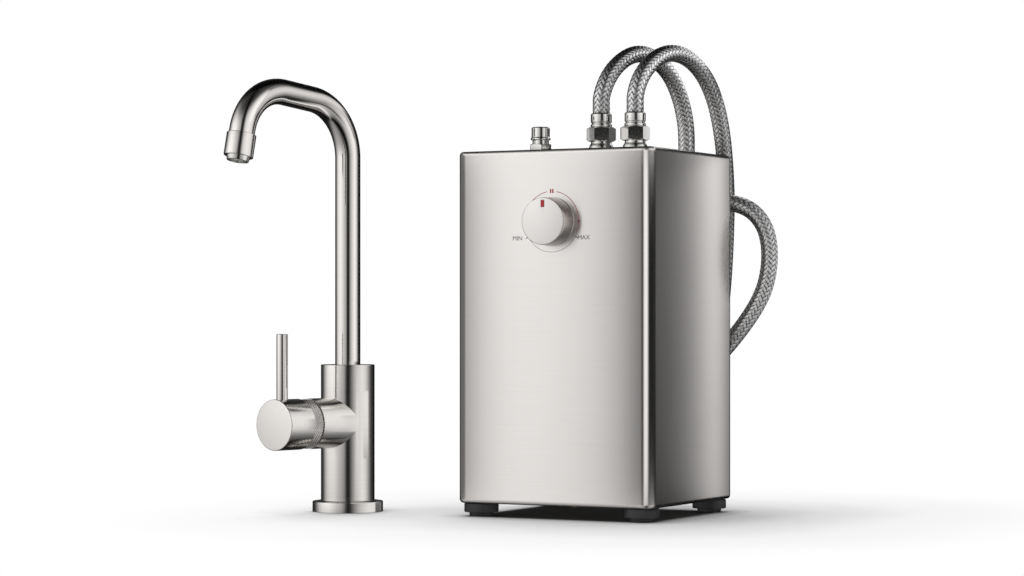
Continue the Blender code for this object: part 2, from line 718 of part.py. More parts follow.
TAIL_LENGTH = 0.008
HOT_PIPE_LOW = 0.186
COLD_PIPE_LOW = 0.066
pipe_high = casing_high - TAIL_LENGTH - GAP
for name, x, low in (
    ("hot_outlet_pipe", LEFT_PORT_X, HOT_PIPE_LOW),
    ("cold_dip_pipe", RIGHT_PORT_X, COLD_PIPE_LOW),
    ("vent_pipe", VENT_X, HOT_PIPE_LOW),
):
    profile = [(PIPE_BORE, low), (PIPE_RADIUS, low), (PIPE_RADIUS, pipe_high), (PIPE_BORE, pipe_high)]
    piece(name, turned(profile, SMALL_SIDES, ring=True), copper, tank, (x, PORT_ROW, 0.0))


# Hose ports: flared bulkhead fittings in the casing's top, each with a spigot for a union nut

PORT_BASE_RADIUS = 0.0094
PORT_BASE_HEIGHT = 0.0034
PORT_FLARE_RADIUS = 0.0088
PORT_FLARE_HEIGHT = 0.0052
PORT_WAIST_RADIUS = 0.0077
PORT_WAIST_LOW = 0.0072
PORT_WAIST_HIGH = 0.0082
SPIGOT_RADIUS = 0.0070
SPIGOT_TOP = 0.0140
port_profile = [
    (PIPE_BORE, -TAIL_LENGTH),
    (PORT_TAIL_RADIUS, -TAIL_LENGTH),
    (PORT_TAIL_RADIUS, GAP),
    (PORT_BASE_RADIUS, GAP),
    (PORT_BASE_RADIUS, PORT_BASE_HEIGHT),
    (PORT_FLARE_RADIUS, PORT_FLARE_HEIGHT),
    (PORT_WAIST_RADIUS, PORT_WAIST_LOW),
    (PORT_WAIST_RADIUS, PORT_WAIST_HIGH),
    (SPIGOT_RADIUS, PORT_WAIST_HIGH),
    (SPIGOT_RADIUS, SPIGOT_TOP),
    (PIPE_BORE, SPIGOT_TOP),
]
for name, x in (("left_port", LEFT_PORT_X), ("right_port", RIGHT_PORT_X)):
    piece(name, turned(port_profile, SMALL_SIDES, ring=True), bright_steel, tank, (x, PORT_ROW, casing_high))


# Vent: a smaller fitting on a hexagonal base, closed by a screw cap

VENT_HEX = 0.0155
VENT_HEX_HEIGHT = 0.0079
VENT_NECK_RADIUS = 0.0062
VENT_NECK_TOP = 0.0108
VENT_SPIGOT_RADIUS = 0.0048
VENT_SPIGOT_TOP = 0.0175
CAP_RADIUS = 0.0069
CAP_FLARE_RADIUS = 0.0075
CAP_FLARE = 0.0010
CAP_TOP = 0.0208
CAP_ROOF = 0.0185
CAP_EASE = 0.0005
vent_profile = [
    (VENT_TAIL_RADIUS, -TAIL_LENGTH),
    (VENT_TAIL_RADIUS, GAP + HEX_EASE),
    (VENT_NECK_RADIUS, GAP + HEX_EASE),
    (VENT_NECK_RADIUS, VENT_NECK_TOP),
    (VENT_SPIGOT_RADIUS, VENT_NECK_TOP),
    (VENT_SPIGOT_RADIUS, VENT_SPIGOT_TOP),
]
vent_place = (VENT_X, PORT_ROW, casing_high)
vent = piece("vent_fitting", hexagon(VENT_HEX, GAP, VENT_HEX_HEIGHT), bright_steel, tank, vent_place)
join(vent, piece("vent_stem_tool", turned(vent_profile), None, tank, vent_place))
vent_bore = rod(PIPE_BORE, -TAIL_LENGTH - OVERRUN, VENT_SPIGOT_TOP + OVERRUN)
cut(vent, piece("vent_bore_cutter", vent_bore, None, tank, vent_place))
cap_low = VENT_NECK_TOP + GAP
cap_profile = [
    (CAP_RADIUS - CAP_EASE, CAP_TOP),
    (CAP_RADIUS, CAP_TOP - CAP_EASE),
    (CAP_RADIUS, cap_low + 2 * CAP_FLARE),
    (CAP_FLARE_RADIUS, cap_low + CAP_FLARE),
    (CAP_FLARE_RADIUS, cap_low),
    (bore_radius(VENT_SPIGOT_RADIUS), cap_low),
    (bore_radius(VENT_SPIGOT_RADIUS), CAP_ROOF),
]
piece("vent_cap", turned(cap_profile), bright_steel, tank, vent_place)


# Hose ends: a crimped ferrule with a union nut that turns on its neck. Height runs from the hose outwards

HOSE_RADIUS = 0.00625
FERRULE_BORE = 0.0040
FERRULE_LIP_RADIUS = 0.0069
FERRULE_RADIUS = 0.00785
FERRULE_EASE = 0.0009
SLEEVE_LENGTH = 0.0076
GROOVE_RADIUS = 0.0073
GROOVE_WIDTH = 0.0006
SHOULDER_RADIUS = 0.0080
SHOULDER_END = 0.0106
FERRULE_NECK_RADIUS = 0.00565
FERRULE_END = 0.0153
UNION_HEX = 0.0190
UNION_HEIGHT = 0.0104
union_low = SHOULDER_END + GAP
union_high = union_low + UNION_HEIGHT
ferrule_profile = [
    (FERRULE_BORE, GAP),
    (FERRULE_LIP_RADIUS, GAP),
    (FERRULE_RADIUS, GAP + FERRULE_EASE),
    (FERRULE_RADIUS, SLEEVE_LENGTH),
    (GROOVE_RADIUS, SLEEVE_LENGTH + GROOVE_WIDTH),
    (SHOULDER_RADIUS, SHOULDER_END),
    (FERRULE_NECK_RADIUS, SHOULDER_END),
    (FERRULE_NECK_RADIUS, FERRULE_END),
    (FERRULE_BORE, FERRULE_END),
]


def hose_end(prefix, place, turn):
    """The ferrule and union nut of one end of a hose, along the local Z axis."""
    end = frame_at(f"{prefix}_frame", place, turn, tank)
    piece(f"{prefix}_ferrule", turned(ferrule_profile, SMALL_SIDES, ring=True), bright_steel, end)
    nut = piece(f"{prefix}_nut", hexagon(UNION_HEX, union_low, union_high), bright_steel, end)
    thread = rod(bore_radius(SPIGOT_RADIUS), FERRULE_END + GAP, union_high + OVERRUN)
    throat = rod(bore_radius(FERRULE_NECK_RADIUS), union_low - OVERRUN, FERRULE_END + 2 * GAP)
    cut(nut, piece(f"{prefix}_thread_cutter", thread, None, end), piece(f"{prefix}_throat_cutter", throat, None, end))


# Hose routes, in millimetres from the middle of the tank's footprint: up from a port, over, down behind the
# casing and along the floor. The left one first loops out past the casing's right edge. The top of each goes
# with its port, and its end stays where it lies.

MILLIMETRE = 0.001
LEFT_ROUTE = [
    (9, -10, 299.8), (9, -10, 310), (11.5, -3, 326.5), (15.5, 12, 340), (20.5, 30, 346.5), (26, 50, 343),
    (31, 67, 330.5), (34.5, 78, 311), (36, 83, 289), (36.5, 83.5, 267.5), (42, 85, 249.5), (54, 87.5, 238.5),
    (70, 91.5, 235), (84, 96, 229.5), (93.5, 100, 217), (97, 102, 201), (96.5, 102, 184), (92.5, 100.5, 167),
    (84, 97.5, 150), (73, 94, 134), (60, 90, 118), (46, 86.5, 103), (31.5, 85, 88), (16.5, 85, 73),
    (1.5, 85, 57.5), (-14, 85, 42), (-30, 85, 27.5), (-46, 85, 15.5), (-62, 85, 10.2), (-76, 85, 9.6),
    (-88, 85, 9.6),
]
RIGHT_ROUTE = [
    (37, -10, 299.8), (37, -10, 310), (38.8, -4.5, 325), (42.8, 10, 339), (48.5, 30, 345.8),
    (54.8, 50.5, 341.5), (60, 67, 328), (63, 79, 309), (64, 88, 286), (62.5, 97, 262), (60, 105, 238),
    (57.5, 109.5, 212), (55, 112, 185), (52, 113, 157), (48, 113, 129), (42, 113, 101), (33, 113, 74),
    (19, 113, 49), (0, 113, 29), (-23, 113, 15.5), (-44, 113, 10.2), (-60, 113, 9.6), (-72, 113, 9.6),
]
HOSE_STEP = 0.017
FINE_STEPS = 24
WASHER_THICKNESS = 0.0005
hose_high = casing_high + SPIGOT_TOP + WASHER_THICKNESS + FERRULE_END


def carried(route, port_x):
    """A route in metres, moved at its top to stand over its port, and less and less along the hose."""
    points = [Vector(point) * MILLIMETRE for point in route]
    shift = Vector((port_x, PORT_ROW, hose_high)) - points[0]
    return [point + shift * (1 - i / (len(points) - 1)) for i, point in enumerate(points)]


def smooth_curve(knots):
    """Points a hose step apart on the natural cubic spline through a route, with its end spans left straight."""
    knots = np.array(knots)
    spans = np.sqrt(np.linalg.norm(np.diff(knots, axis=0), axis=1))
    system = np.eye(len(knots))
    load = np.zeros((len(knots), 3))
    for i in range(1, len(knots) - 1):
        system[i, i - 1:i + 2] = spans[i - 1], 2 * (spans[i - 1] + spans[i]), spans[i]
        load[i] = 6 * ((knots[i + 1] - knots[i]) / spans[i] - (knots[i] - knots[i - 1]) / spans[i - 1])
    bends = np.linalg.solve(system, load)
    fine = []
    for i in range(1, len(spans) - 1):
        for share in np.linspace(0, 1, FINE_STEPS, endpoint=False):
            back = 1 - share
            curl = (back**3 - back) * bends[i] + (share**3 - share) * bends[i + 1]
            fine.append(back * knots[i] + share * knots[i + 1] + curl * spans[i]**2 / 6)
    fine = np.array(fine + [knots[-2]])
    run = np.concatenate([[0], np.cumsum(np.linalg.norm(np.diff(fine, axis=0), axis=1))])
    stops = np.linspace(0, run[-1], round(run[-1] / HOSE_STEP) + 1)
    between = np.stack([np.interp(stops, run, fine[:, axis]) for axis in range(3)], axis=1)
    return np.vstack([knots[:1], between, knots[-1:]])


def hose(name, route):
    """A braided hose as a round tube along its route, closed by flat caps."""
    data = bpy.data.curves.new(name, "CURVE")
    data.dimensions = "3D"
    data.bevel_depth = HOSE_RADIUS
    data.bevel_resolution = 3
    data.resolution_u = 1
    data.render_resolution_u = 0
    data.use_fill_caps = True
    points = smooth_curve(route)
    line = data.splines.new("POLY")
    line.points.add(len(points) - 1)
    for spot, point in zip(line.points, points):
        spot.co = (*point, 1.0)
    data.materials.append(finish_of(name, (0.55, 0.55, 0.55), 0.35, 1.0))
    made = bpy.data.objects.new(name, data)
    bpy.context.collection.objects.link(made)
    made.parent = tank


NUT_TURN = math.radians(28.0)
HOSE_DOWN = (math.pi, 0.0, NUT_TURN)
HOSE_LEFT = (math.pi / 2, 0.0, -math.pi / 2)
for side, route, port_x in (("left", LEFT_ROUTE, LEFT_PORT_X), ("right", RIGHT_ROUTE, RIGHT_PORT_X)):
    points = carried(route, port_x)
    hose(f"{side}_hose", points)
    hose_end(f"{side}_hose_top", points[0], HOSE_DOWN)
    hose_end(f"{side}_hose_end", points[-1], HOSE_LEFT)


# Faucet body: a turned barrel with a side branch, bored for the spout, the cartridge and the fixing shank

FLANGE_HEIGHT = 0.0080
FLANGE_RADIUS = 0.0268
FLANGE_EASE = 0.0006
BODY_SPIGOT_RADIUS = 0.0136
BODY_SPIGOT_LOW = 0.0010
BODY_EASE = 0.0005
BRANCH_END = 0.0433
SWIVEL_RADIUS = 0.0130
SWIVEL_FLOOR = 0.0830
CHAMBER_RADIUS = 0.0105
CHAMBER_FLOOR = 0.0600
CARTRIDGE_RADIUS = 0.0136
CARTRIDGE_FLOOR = 0.0120
WATERWAY_RADIUS = 0.0030
SHANK_RADIUS = 0.0100
SHANK_DEPTH = 0.0260
GRUB_RADIUS = 0.0020
GRUB_HEIGHT = 0.1000
body_low = FLANGE_HEIGHT + GAP
body_profile = [
    (BODY_SPIGOT_RADIUS, BODY_SPIGOT_LOW),
    (BODY_SPIGOT_RADIUS, body_low),
    (BODY_RADIUS - BODY_EASE, body_low),
    (BODY_RADIUS, body_low + BODY_EASE),
    (BODY_RADIUS, BODY_TOP - BODY_EASE),
    (BODY_RADIUS - BODY_EASE, BODY_TOP),
]
branch_place = (0.0, 0.0, BRANCH_HEIGHT)
body = piece("faucet_body", turned(body_profile, WIDE_SIDES), brushed_steel, faucet)
branch = piece("branch_tool", rod(BRANCH_RADIUS, 0.0, BRANCH_END, WIDE_SIDES), None, faucet, branch_place, FACE_FRONT)
join(body, branch)
bores = [
    ("swivel_cutter", rod(bore_radius(SWIVEL_RADIUS), SWIVEL_FLOOR, BODY_TOP + OVERRUN), (0.0, 0.0, 0.0), (0.0, 0.0, 0.0)),
    ("chamber_cutter", rod(CHAMBER_RADIUS, CHAMBER_FLOOR, SWIVEL_FLOOR + OVERRUN), (0.0, 0.0, 0.0), (0.0, 0.0, 0.0)),
    ("cartridge_cutter", rod(bore_radius(CARTRIDGE_RADIUS), CARTRIDGE_FLOOR, BRANCH_END + OVERRUN), branch_place, FACE_FRONT),
    ("waterway_cutter", rod(WATERWAY_RADIUS, 0.0, CARTRIDGE_FLOOR + OVERRUN, SMALL_SIDES), branch_place, FACE_FRONT),
    ("shank_cutter", rod(SHANK_RADIUS, -OVERRUN, SHANK_DEPTH), (0.0, 0.0, 0.0), (0.0, 0.0, 0.0)),
    ("grub_cutter", rod(bore_radius(GRUB_RADIUS, SMALL_SIDES), 0.0, BODY_RADIUS + OVERRUN, SMALL_SIDES), (0.0, 0.0, GRUB_HEIGHT), FACE_BACK),
]
inlet_low = Vector((0.0, -SHANK_RADIUS / 2, SHANK_DEPTH - OVERRUN))
inlet_high = Vector((0.0, -CARTRIDGE_FLOOR - CARTRIDGE_RADIUS / 2, BRANCH_HEIGHT - CARTRIDGE_RADIUS + OVERRUN))
inlet = inlet_high - inlet_low
inlet_turn = inlet.to_track_quat("Z", "Y").to_euler()
bores.append(("inlet_cutter", rod(WATERWAY_RADIUS, 0.0, inlet.length, SMALL_SIDES), inlet_low, inlet_turn))
cut(body, *[piece(name, tool, None, faucet, place, turn) for name, tool, place, turn in bores])


# Base flange and its seal: a turned ring under the barrel, with a rubber ring let into its underside

SEAL_RADIUS = 0.0220
SEAL_WIDTH = 0.0030
SEAL_HEIGHT = 0.0015
flange_bore = bore_radius(BODY_SPIGOT_RADIUS, WIDE_SIDES)
groove_outer = bore_radius(SEAL_RADIUS, WIDE_SIDES)
groove_inner = SEAL_RADIUS - SEAL_WIDTH - GAP
flange_profile = [
    (flange_bore, 0.0),
    (groove_inner, 0.0),
    (groove_inner, SEAL_HEIGHT + GAP),
    (groove_outer, SEAL_HEIGHT + GAP),
    (groove_outer, 0.0),
    (FLANGE_RADIUS - FLANGE_EASE, 0.0),
    (FLANGE_RADIUS, FLANGE_EASE),
    (FLANGE_RADIUS, FLANGE_HEIGHT - FLANGE_EASE),
    (FLANGE_RADIUS - FLANGE_EASE, FLANGE_HEIGHT),
    (flange_bore, FLANGE_HEIGHT),
]
piece("base_flange", turned(flange_profile, WIDE_SIDES, ring=True), brushed_steel, faucet)
seal_inner = bore_radius(SEAL_RADIUS - SEAL_WIDTH - GAP, WIDE_SIDES)
seal_profile = [(seal_inner, 0.0), (SEAL_RADIUS, 0.0), (SEAL_RADIUS, SEAL_HEIGHT), (seal_inner, SEAL_HEIGHT)]
piece("base_seal", turned(seal_profile, WIDE_SIDES, ring=True), rubber, faucet)


# Swivel seat: a plastic bush over a sealing ring, held by a grub screw at the back of the barrel

RING_HEIGHT = 0.0030
BUSH_DROP = 0.0003
tube_way = bore_radius(TUBE_RADIUS)
ring_low = SWIVEL_FLOOR + GAP
bush_low = ring_low + RING_HEIGHT + GAP
bush_high = BODY_TOP - BUSH_DROP
for name, low, high, finish in (
    ("spout_seal_ring", ring_low, ring_low + RING_HEIGHT, rubber),
    ("swivel_bush", bush_low, bush_high, pale_plastic),
):
    profile = [(tube_way, low), (SWIVEL_RADIUS, low), (SWIVEL_RADIUS, high), (tube_way, high)]
    piece(name, turned(profile, ring=True), finish, faucet)
grub_inner = bore_radius(SWIVEL_RADIUS)
grub = rod(GRUB_RADIUS, grub_inner, BODY_RADIUS - BODY_EASE, SMALL_SIDES)
piece("spout_grub_screw", grub, bright_steel, faucet, (0.0, 0.0, GRUB_HEIGHT), FACE_BACK)


# Valve: a ceramic-disc cartridge in the branch, held by a knurled bonnet ring

STEM_BORE_START = 0.0200
CARTRIDGE_SHOULDER = 0.0340
CARTRIDGE_NECK_RADIUS = 0.0090
CARTRIDGE_END = 0.0360
VALVE_STEM_RADIUS = 0.0040
KNURL_RADIUS = 0.0185
KNURL_END = 0.0527
KNURL_EASE = 0.0004
stem_way = bore_radius(VALVE_STEM_RADIUS)
cartridge_profile = [
    (CARTRIDGE_RADIUS, CARTRIDGE_FLOOR + GAP),
    (CARTRIDGE_RADIUS, CARTRIDGE_SHOULDER),
    (CARTRIDGE_NECK_RADIUS, CARTRIDGE_SHOULDER),
    (CARTRIDGE_NECK_RADIUS, CARTRIDGE_END),
    (stem_way, CARTRIDGE_END),
    (stem_way, STEM_BORE_START),
]
piece("valve_cartridge", turned(cartridge_profile), brass, faucet, branch_place, FACE_FRONT)
knurl_low = BRANCH_END + GAP
knurl_profile = [
    (stem_way, CARTRIDGE_END + GAP),
    (CARTRIDGE_RADIUS, CARTRIDGE_END + GAP),
    (CARTRIDGE_RADIUS, knurl_low),
    (KNURL_RADIUS - KNURL_EASE, knurl_low),
    (KNURL_RADIUS, knurl_low + KNURL_EASE),
    (KNURL_RADIUS, KNURL_END - KNURL_EASE),
    (KNURL_RADIUS - KNURL_EASE, KNURL_END),
    (stem_way, KNURL_END),
]
piece("knurled_ring", turned(knurl_profile, WIDE_SIDES, ring=True), bright_steel, faucet, branch_place, FACE_FRONT)


# Handle: a turned cap on the valve stem, with a round lever pin screwed into its rim

CAP_WALL = 0.0040
CAP_HOLLOW = 0.0600
CAP_HUB_RADIUS = 0.0080
CAP_HUB_LOW = 0.0550
CAP_SOCKET = 0.0630
HANDLE_EASE = 0.0005
LEVER_RADIUS = 0.00425
LEVER_PLACE = 0.0693
LEVER_ROOT = 0.0080
LEVER_TOP = 0.0674
LEVER_EASE = 0.0004
handle_pivot = frame_at("handle_pivot", branch_place, FACE_FRONT, faucet)
cap_rear = KNURL_END + GAP
handle_profile = [
    (BRANCH_RADIUS - HANDLE_EASE, HANDLE_FACE),
    (BRANCH_RADIUS, HANDLE_FACE - HANDLE_EASE),
    (BRANCH_RADIUS, cap_rear + HANDLE_EASE),
    (BRANCH_RADIUS - HANDLE_EASE, cap_rear),
    (BRANCH_RADIUS - CAP_WALL, cap_rear),
    (BRANCH_RADIUS - CAP_WALL, CAP_HOLLOW),
    (CAP_HUB_RADIUS, CAP_HOLLOW),
    (CAP_HUB_RADIUS, CAP_HUB_LOW),
    (stem_way, CAP_HUB_LOW),
    (stem_way, CAP_SOCKET),
]
UP_FROM_AXIS = (-math.pi / 2, 0.0, 0.0)
lever_place = (0.0, 0.0, LEVER_PLACE)
handle_cap = piece("handle_cap", turned(handle_profile, WIDE_SIDES), brushed_steel, handle_pivot)
lever_hole = rod(bore_radius(LEVER_RADIUS), LEVER_ROOT, BRANCH_RADIUS + OVERRUN)
cut(handle_cap, piece("lever_cutter", lever_hole, None, handle_pivot, lever_place, UP_FROM_AXIS))
lever_profile = [
    (LEVER_RADIUS, LEVER_ROOT + GAP),
    (LEVER_RADIUS, LEVER_TOP - LEVER_EASE),
    (LEVER_RADIUS - LEVER_EASE, LEVER_TOP),
]
piece("lever_pin", turned(lever_profile), brushed_steel, handle_pivot, lever_place, UP_FROM_AXIS)
valve_stem = rod(VALVE_STEM_RADIUS, STEM_BORE_START + GAP, CAP_SOCKET - GAP)
piece("valve_stem", valve_stem, brass, handle_pivot)


# Spout: one tube bent twice, swivelling in the barrel, with a nozzle collar and an aerator at its mouth

SPOUT_FOOT = 0.0780
COLLAR_LENGTH = 0.0170
COLLAR_EASE = 0.0006
TUBE_IN_COLLAR = 0.0080
COLLAR_LIP = 0.0005
AERATOR_RADIUS = 0.0088
AERATOR_RIM_RADIUS = 0.0080
AERATOR_DROP = 0.0034
MOUTH_RADIUS = 0.0069
MOUTH_ROOF = 0.0006
SCREEN_RADIUS = 0.0063
SCREEN_THICKNESS = 0.0006
spout_pivot = frame_at("spout_pivot", (0.0, 0.0, 0.0), parent=faucet)
run_end = Vector((0.0, -run_end_reach, RISER_CORNER_HEIGHT + RUN_LENGTH * math.sin(RUN_RISE)))
nozzle_line = Vector((0.0, -math.sin(NOZZLE_TILT), -math.cos(NOZZLE_TILT)))
spout_line = filleted(
    [
        Vector((0.0, 0.0, SPOUT_FOOT)),
        Vector((0.0, 0.0, RISER_CORNER_HEIGHT)),
        run_end,
        run_end + nozzle_line * (NOZZLE_DROP - COLLAR_LENGTH + TUBE_IN_COLLAR),
    ],
    [FIRST_BEND_RADIUS, SECOND_BEND_RADIUS],
)
spout = tube_along(spout_line, TUBE_RADIUS, TUBE_RADIUS - TUBE_WALL)
piece("spout_tube", spout, brushed_steel, spout_pivot)
nozzle = frame_at("nozzle_frame", run_end + nozzle_line * NOZZLE_DROP, (-NOZZLE_TILT, 0.0, 0.0), spout_pivot)
tube_stop = COLLAR_LENGTH - TUBE_IN_COLLAR - GAP
aerator_way = bore_radius(AERATOR_RADIUS)
collar_profile = [
    (aerator_way, 0.0),
    (COLLAR_RADIUS - COLLAR_EASE, 0.0),
    (COLLAR_RADIUS, COLLAR_EASE),
    (COLLAR_RADIUS, COLLAR_LENGTH - COLLAR_EASE),
    (COLLAR_RADIUS - COLLAR_EASE, COLLAR_LENGTH),
    (tube_way, COLLAR_LENGTH),
    (tube_way, tube_stop),
    (TUBE_RADIUS - TUBE_WALL, tube_stop),
    (TUBE_RADIUS - TUBE_WALL, tube_stop - COLLAR_LIP),
    (aerator_way, tube_stop - COLLAR_LIP),
]
piece("spout_collar", turned(collar_profile, ring=True), brushed_steel, nozzle)
aerator_top = tube_stop - COLLAR_LIP - GAP
aerator_profile = [
    (AERATOR_RADIUS, aerator_top),
    (AERATOR_RADIUS, 0.0),
    (AERATOR_RIM_RADIUS, -AERATOR_DROP),
    (MOUTH_RADIUS, -AERATOR_DROP),
    (MOUTH_RADIUS, MOUTH_ROOF),
]
piece("aerator_insert", turned(aerator_profile), bright_steel, nozzle)
screen_high = MOUTH_ROOF - GAP
screen = rod(SCREEN_RADIUS, screen_high - SCREEN_THICKNESS, screen_high)
piece("aerator_screen", screen, pale_plastic, nozzle)
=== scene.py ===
"""Looks of the instant hot water dispenser: a brushed steel tank with a thermostat knob and two braided
hoses, and the swivel faucet that it feeds, on a pale studio floor. Metres, with the hoses' routes and the
turned outlines in millimetres. +Z up, front towards -Y.
"""

import math

import bmesh
import bpy
import numpy as np
from mathutils import Matrix, Vector


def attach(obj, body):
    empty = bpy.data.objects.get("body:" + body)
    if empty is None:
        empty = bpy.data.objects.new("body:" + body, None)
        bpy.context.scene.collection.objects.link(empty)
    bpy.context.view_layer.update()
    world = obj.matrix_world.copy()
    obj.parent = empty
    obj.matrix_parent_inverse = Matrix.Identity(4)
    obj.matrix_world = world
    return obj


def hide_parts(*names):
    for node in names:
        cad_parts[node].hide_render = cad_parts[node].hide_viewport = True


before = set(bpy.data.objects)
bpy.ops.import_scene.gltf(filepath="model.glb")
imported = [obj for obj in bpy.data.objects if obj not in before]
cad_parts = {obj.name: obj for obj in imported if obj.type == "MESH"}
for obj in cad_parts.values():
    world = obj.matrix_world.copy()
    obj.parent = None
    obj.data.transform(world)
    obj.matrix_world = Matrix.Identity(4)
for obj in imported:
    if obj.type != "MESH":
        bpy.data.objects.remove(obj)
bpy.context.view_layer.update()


# Camera: a long lens to the right of the tank, level with its middle and raised a little on its shift, so
# that upright edges stay upright.

CAMERA_PLACE = (1.0019, -1.8270, 0.1473)
CAMERA_TURN = math.asin(0.4726)
camera_data = bpy.data.cameras.new("camera")
camera_data.lens = 98.12
camera_data.sensor_width = 36.0
camera_data.shift_y = 0.0288
camera = bpy.data.objects.new("camera", camera_data)
camera.location = CAMERA_PLACE
camera.rotation_euler = (math.pi / 2, 0.0, CAMERA_TURN)
bpy.context.scene.collection.objects.link(camera)
bpy.context.scene.camera = camera


# Braided hoses: a rubber tube in a plaited sleeve of stainless wire, twelve flat strands wound each way and
# passing two over and two under. Each stands up from its port, arches over the casing's back edge, drops
# behind it and lies along the floor.

TANK_MIDDLE = Vector((0.06804, 0.04851, 0.0))
MILLIMETRE = 0.001
LEFT_ROUTE = [
    (9, -10, 299.8), (9, -10, 310), (11.5, -3, 326.5), (15.5, 12, 340), (20.5, 30, 346.5), (26, 50, 343),
    (31, 67, 330.5), (34.5, 78, 311), (36, 83, 289), (36.5, 83.5, 267.5), (42, 85, 249.5), (54, 87.5, 238.5),
    (70, 91.5, 235), (84, 96, 229.5), (93.5, 100, 217), (97, 102, 201), (96.5, 102, 184), (92.5, 100.5, 167),
    (84, 97.5, 150), (73, 94, 134), (60, 90, 118), (46, 86.5, 103), (31.5, 85, 88), (16.5, 85, 73),
    (1.5, 85, 57.5), (-14, 85, 42), (-30, 85, 27.5), (-46, 85, 15.5), (-62, 85, 10.2), (-76, 85, 9.6),
    (-88, 85, 9.6),
]
RIGHT_ROUTE = [
    (37, -10, 299.8), (37, -10, 310), (38.8, -4.5, 325), (42.8, 10, 339), (48.5, 30, 345.8),
    (54.8, 50.5, 341.5), (60, 67, 328), (63, 79, 309), (64, 88, 286), (62.5, 97, 262), (60, 105, 238),
    (57.5, 109.5, 212), (55, 112, 185), (52, 113, 157), (48, 113, 129), (42, 113, 101), (33, 113, 74),
    (19, 113, 49), (0, 113, 29), (-23, 113, 15.5), (-44, 113, 10.2), (-60, 113, 9.6), (-72, 113, 9.6),
]
HOSE_DIAMETER = 0.0125
BRAID_CROWN = 0.0002
ROUTE_STEP = 0.002
STOPS_PER_SPAN = 24
CARRIERS = 12
BRAID_PITCH = 0.046
STRAND_WIDTH = 0.0024
STRAND_THICKNESS = 0.00026
STRAND_LIFT = 0.00020
STOPS_PER_CROSSING = 2
CORE_CLEARANCE = 0.00018
WIRES_PER_STRAND = 7


def smooth_route(route, step):
    """Points a step apart on the natural cubic spline through a route, with its end spans left straight."""
    knots = np.array(route, float) * MILLIMETRE + np.array(TANK_MIDDLE)
    spans = np.sqrt(np.linalg.norm(np.diff(knots, axis=0), axis=1))
    system = np.eye(len(knots))
    load = np.zeros((len(knots), 3))
    for i in range(1, len(knots) - 1):
        system[i, i - 1:i + 2] = spans[i - 1], 2 * (spans[i - 1] + spans[i]), spans[i]
        load[i] = 6 * ((knots[i + 1] - knots[i]) / spans[i] - (knots[i] - knots[i - 1]) / spans[i - 1])
    bends = np.linalg.solve(system, load)
    fine = [knots[0]]
    for i in range(1, len(spans) - 1):
        for share in np.linspace(0, 1, STOPS_PER_SPAN, endpoint=False):
            back = 1 - share
            curl = (back**3 - back) * bends[i] + (share**3 - share) * bends[i + 1]
            fine.append(back * knots[i] + share * knots[i + 1] + curl * spans[i]**2 / 6)
    fine = np.array(fine + [knots[-2], knots[-1]])
    run = np.concatenate([[0], np.cumsum(np.linalg.norm(np.diff(fine, axis=0), axis=1))])
    stops = np.linspace(0, run[-1], round(run[-1] / step) + 1)
    return np.stack([np.interp(stops, run, fine[:, axis]) for axis in range(3)], axis=1), run[-1]


class Socket:
    """One output of a node. Sums between outputs, or with numbers, make Math or Vector Math nodes."""

    def __init__(self, socket):
        self.socket = socket
        self.tree = socket.id_data
        self.is_vector = socket.type == "VECTOR"

    def __getitem__(self, name):
        return Socket(self.socket.node.outputs[name])

    def __add__(self, other):
        return reckon("ADD", self, other)

    def __sub__(self, other):
        return reckon("SUBTRACT", self, other)

    def __rsub__(self, other):
        return reckon("SUBTRACT", other, self)

    def __mul__(self, other):
        by_number = self.is_vector and not getattr(other, "is_vector", False)
        return reckon("SCALE" if by_number else "MULTIPLY", self, other)

    def __truediv__(self, other):
        return reckon("DIVIDE", self, other)

    def then(self, kind, inputs=None, **settings):
        """Add a node that takes this output in first."""
        return place_node(self.tree, kind, {0: self, **(inputs or {})}, **settings)


def plug(node, inputs):
    """Give each named input of a node a value, or link a socket or a list of them to it."""
    for name, value in inputs.items():
        if isinstance(value, (Socket, list)):
            for source in value if isinstance(value, list) else [value]:
                node.id_data.links.new(source.socket, node.inputs[name])
        else:
            node.inputs[name].default_value = value


def place_node(tree, kind, inputs=None, **settings):
    """Add a node by its plain name, with its settings and its inputs, and give back its first output."""
    families = ("ShaderNode", "GeometryNode", "FunctionNode")
    made = tree.nodes.new(next(family + kind for family in families if hasattr(bpy.types, family + kind)))
    for name, value in settings.items():
        setattr(made, name, value)
    plug(made, inputs or {})
    return Socket(made.outputs[0]) if len(made.outputs) else None


def reckon(operation, *values):
    """One Math node, or one Vector Math node where the first of its sockets is a vector."""
    first = next(value for value in values if isinstance(value, Socket))
    kind = "VectorMath" if first.is_vector else "Math"
    inputs = {0: values[0], "Scale": values[1]} if operation == "SCALE" else dict(enumerate(values))
    return place_node(first.tree, kind, inputs, operation=operation)


def split(vector):
    return vector.then("SeparateXYZ")


def combine(tree, x=0.0, y=0.0, z=0.0):
    return place_node(tree, "CombineXYZ", {"X": x, "Y": y, "Z": z})


def store(geometry, name, value, domain="POINT"):
    """Keep a number or a vector on a geometry, under a name that a material or a later node asks for."""
    kind = "FLOAT_VECTOR" if getattr(value, "is_vector", False) else "FLOAT"
    return geometry.then("StoreNamedAttribute", {"Name": name, "Value": value}, data_type=kind, domain=domain)


def new_tree(name, kind, inputs, outputs):
    """A node tree with its sockets listed by kind, the first that it is given, and its output node."""
    tree = bpy.data.node_groups.new(name, kind)
    for way, sockets in (("INPUT", inputs), ("OUTPUT", outputs)):
        for socket_kind, labels in sockets.items():
            for label in labels:
                tree.interface.new_socket(label, in_out=way, socket_type=f"NodeSocket{socket_kind}")
    return tree, Socket(tree.nodes.new("NodeGroupInput").outputs[0]), tree.nodes.new("NodeGroupOutput")


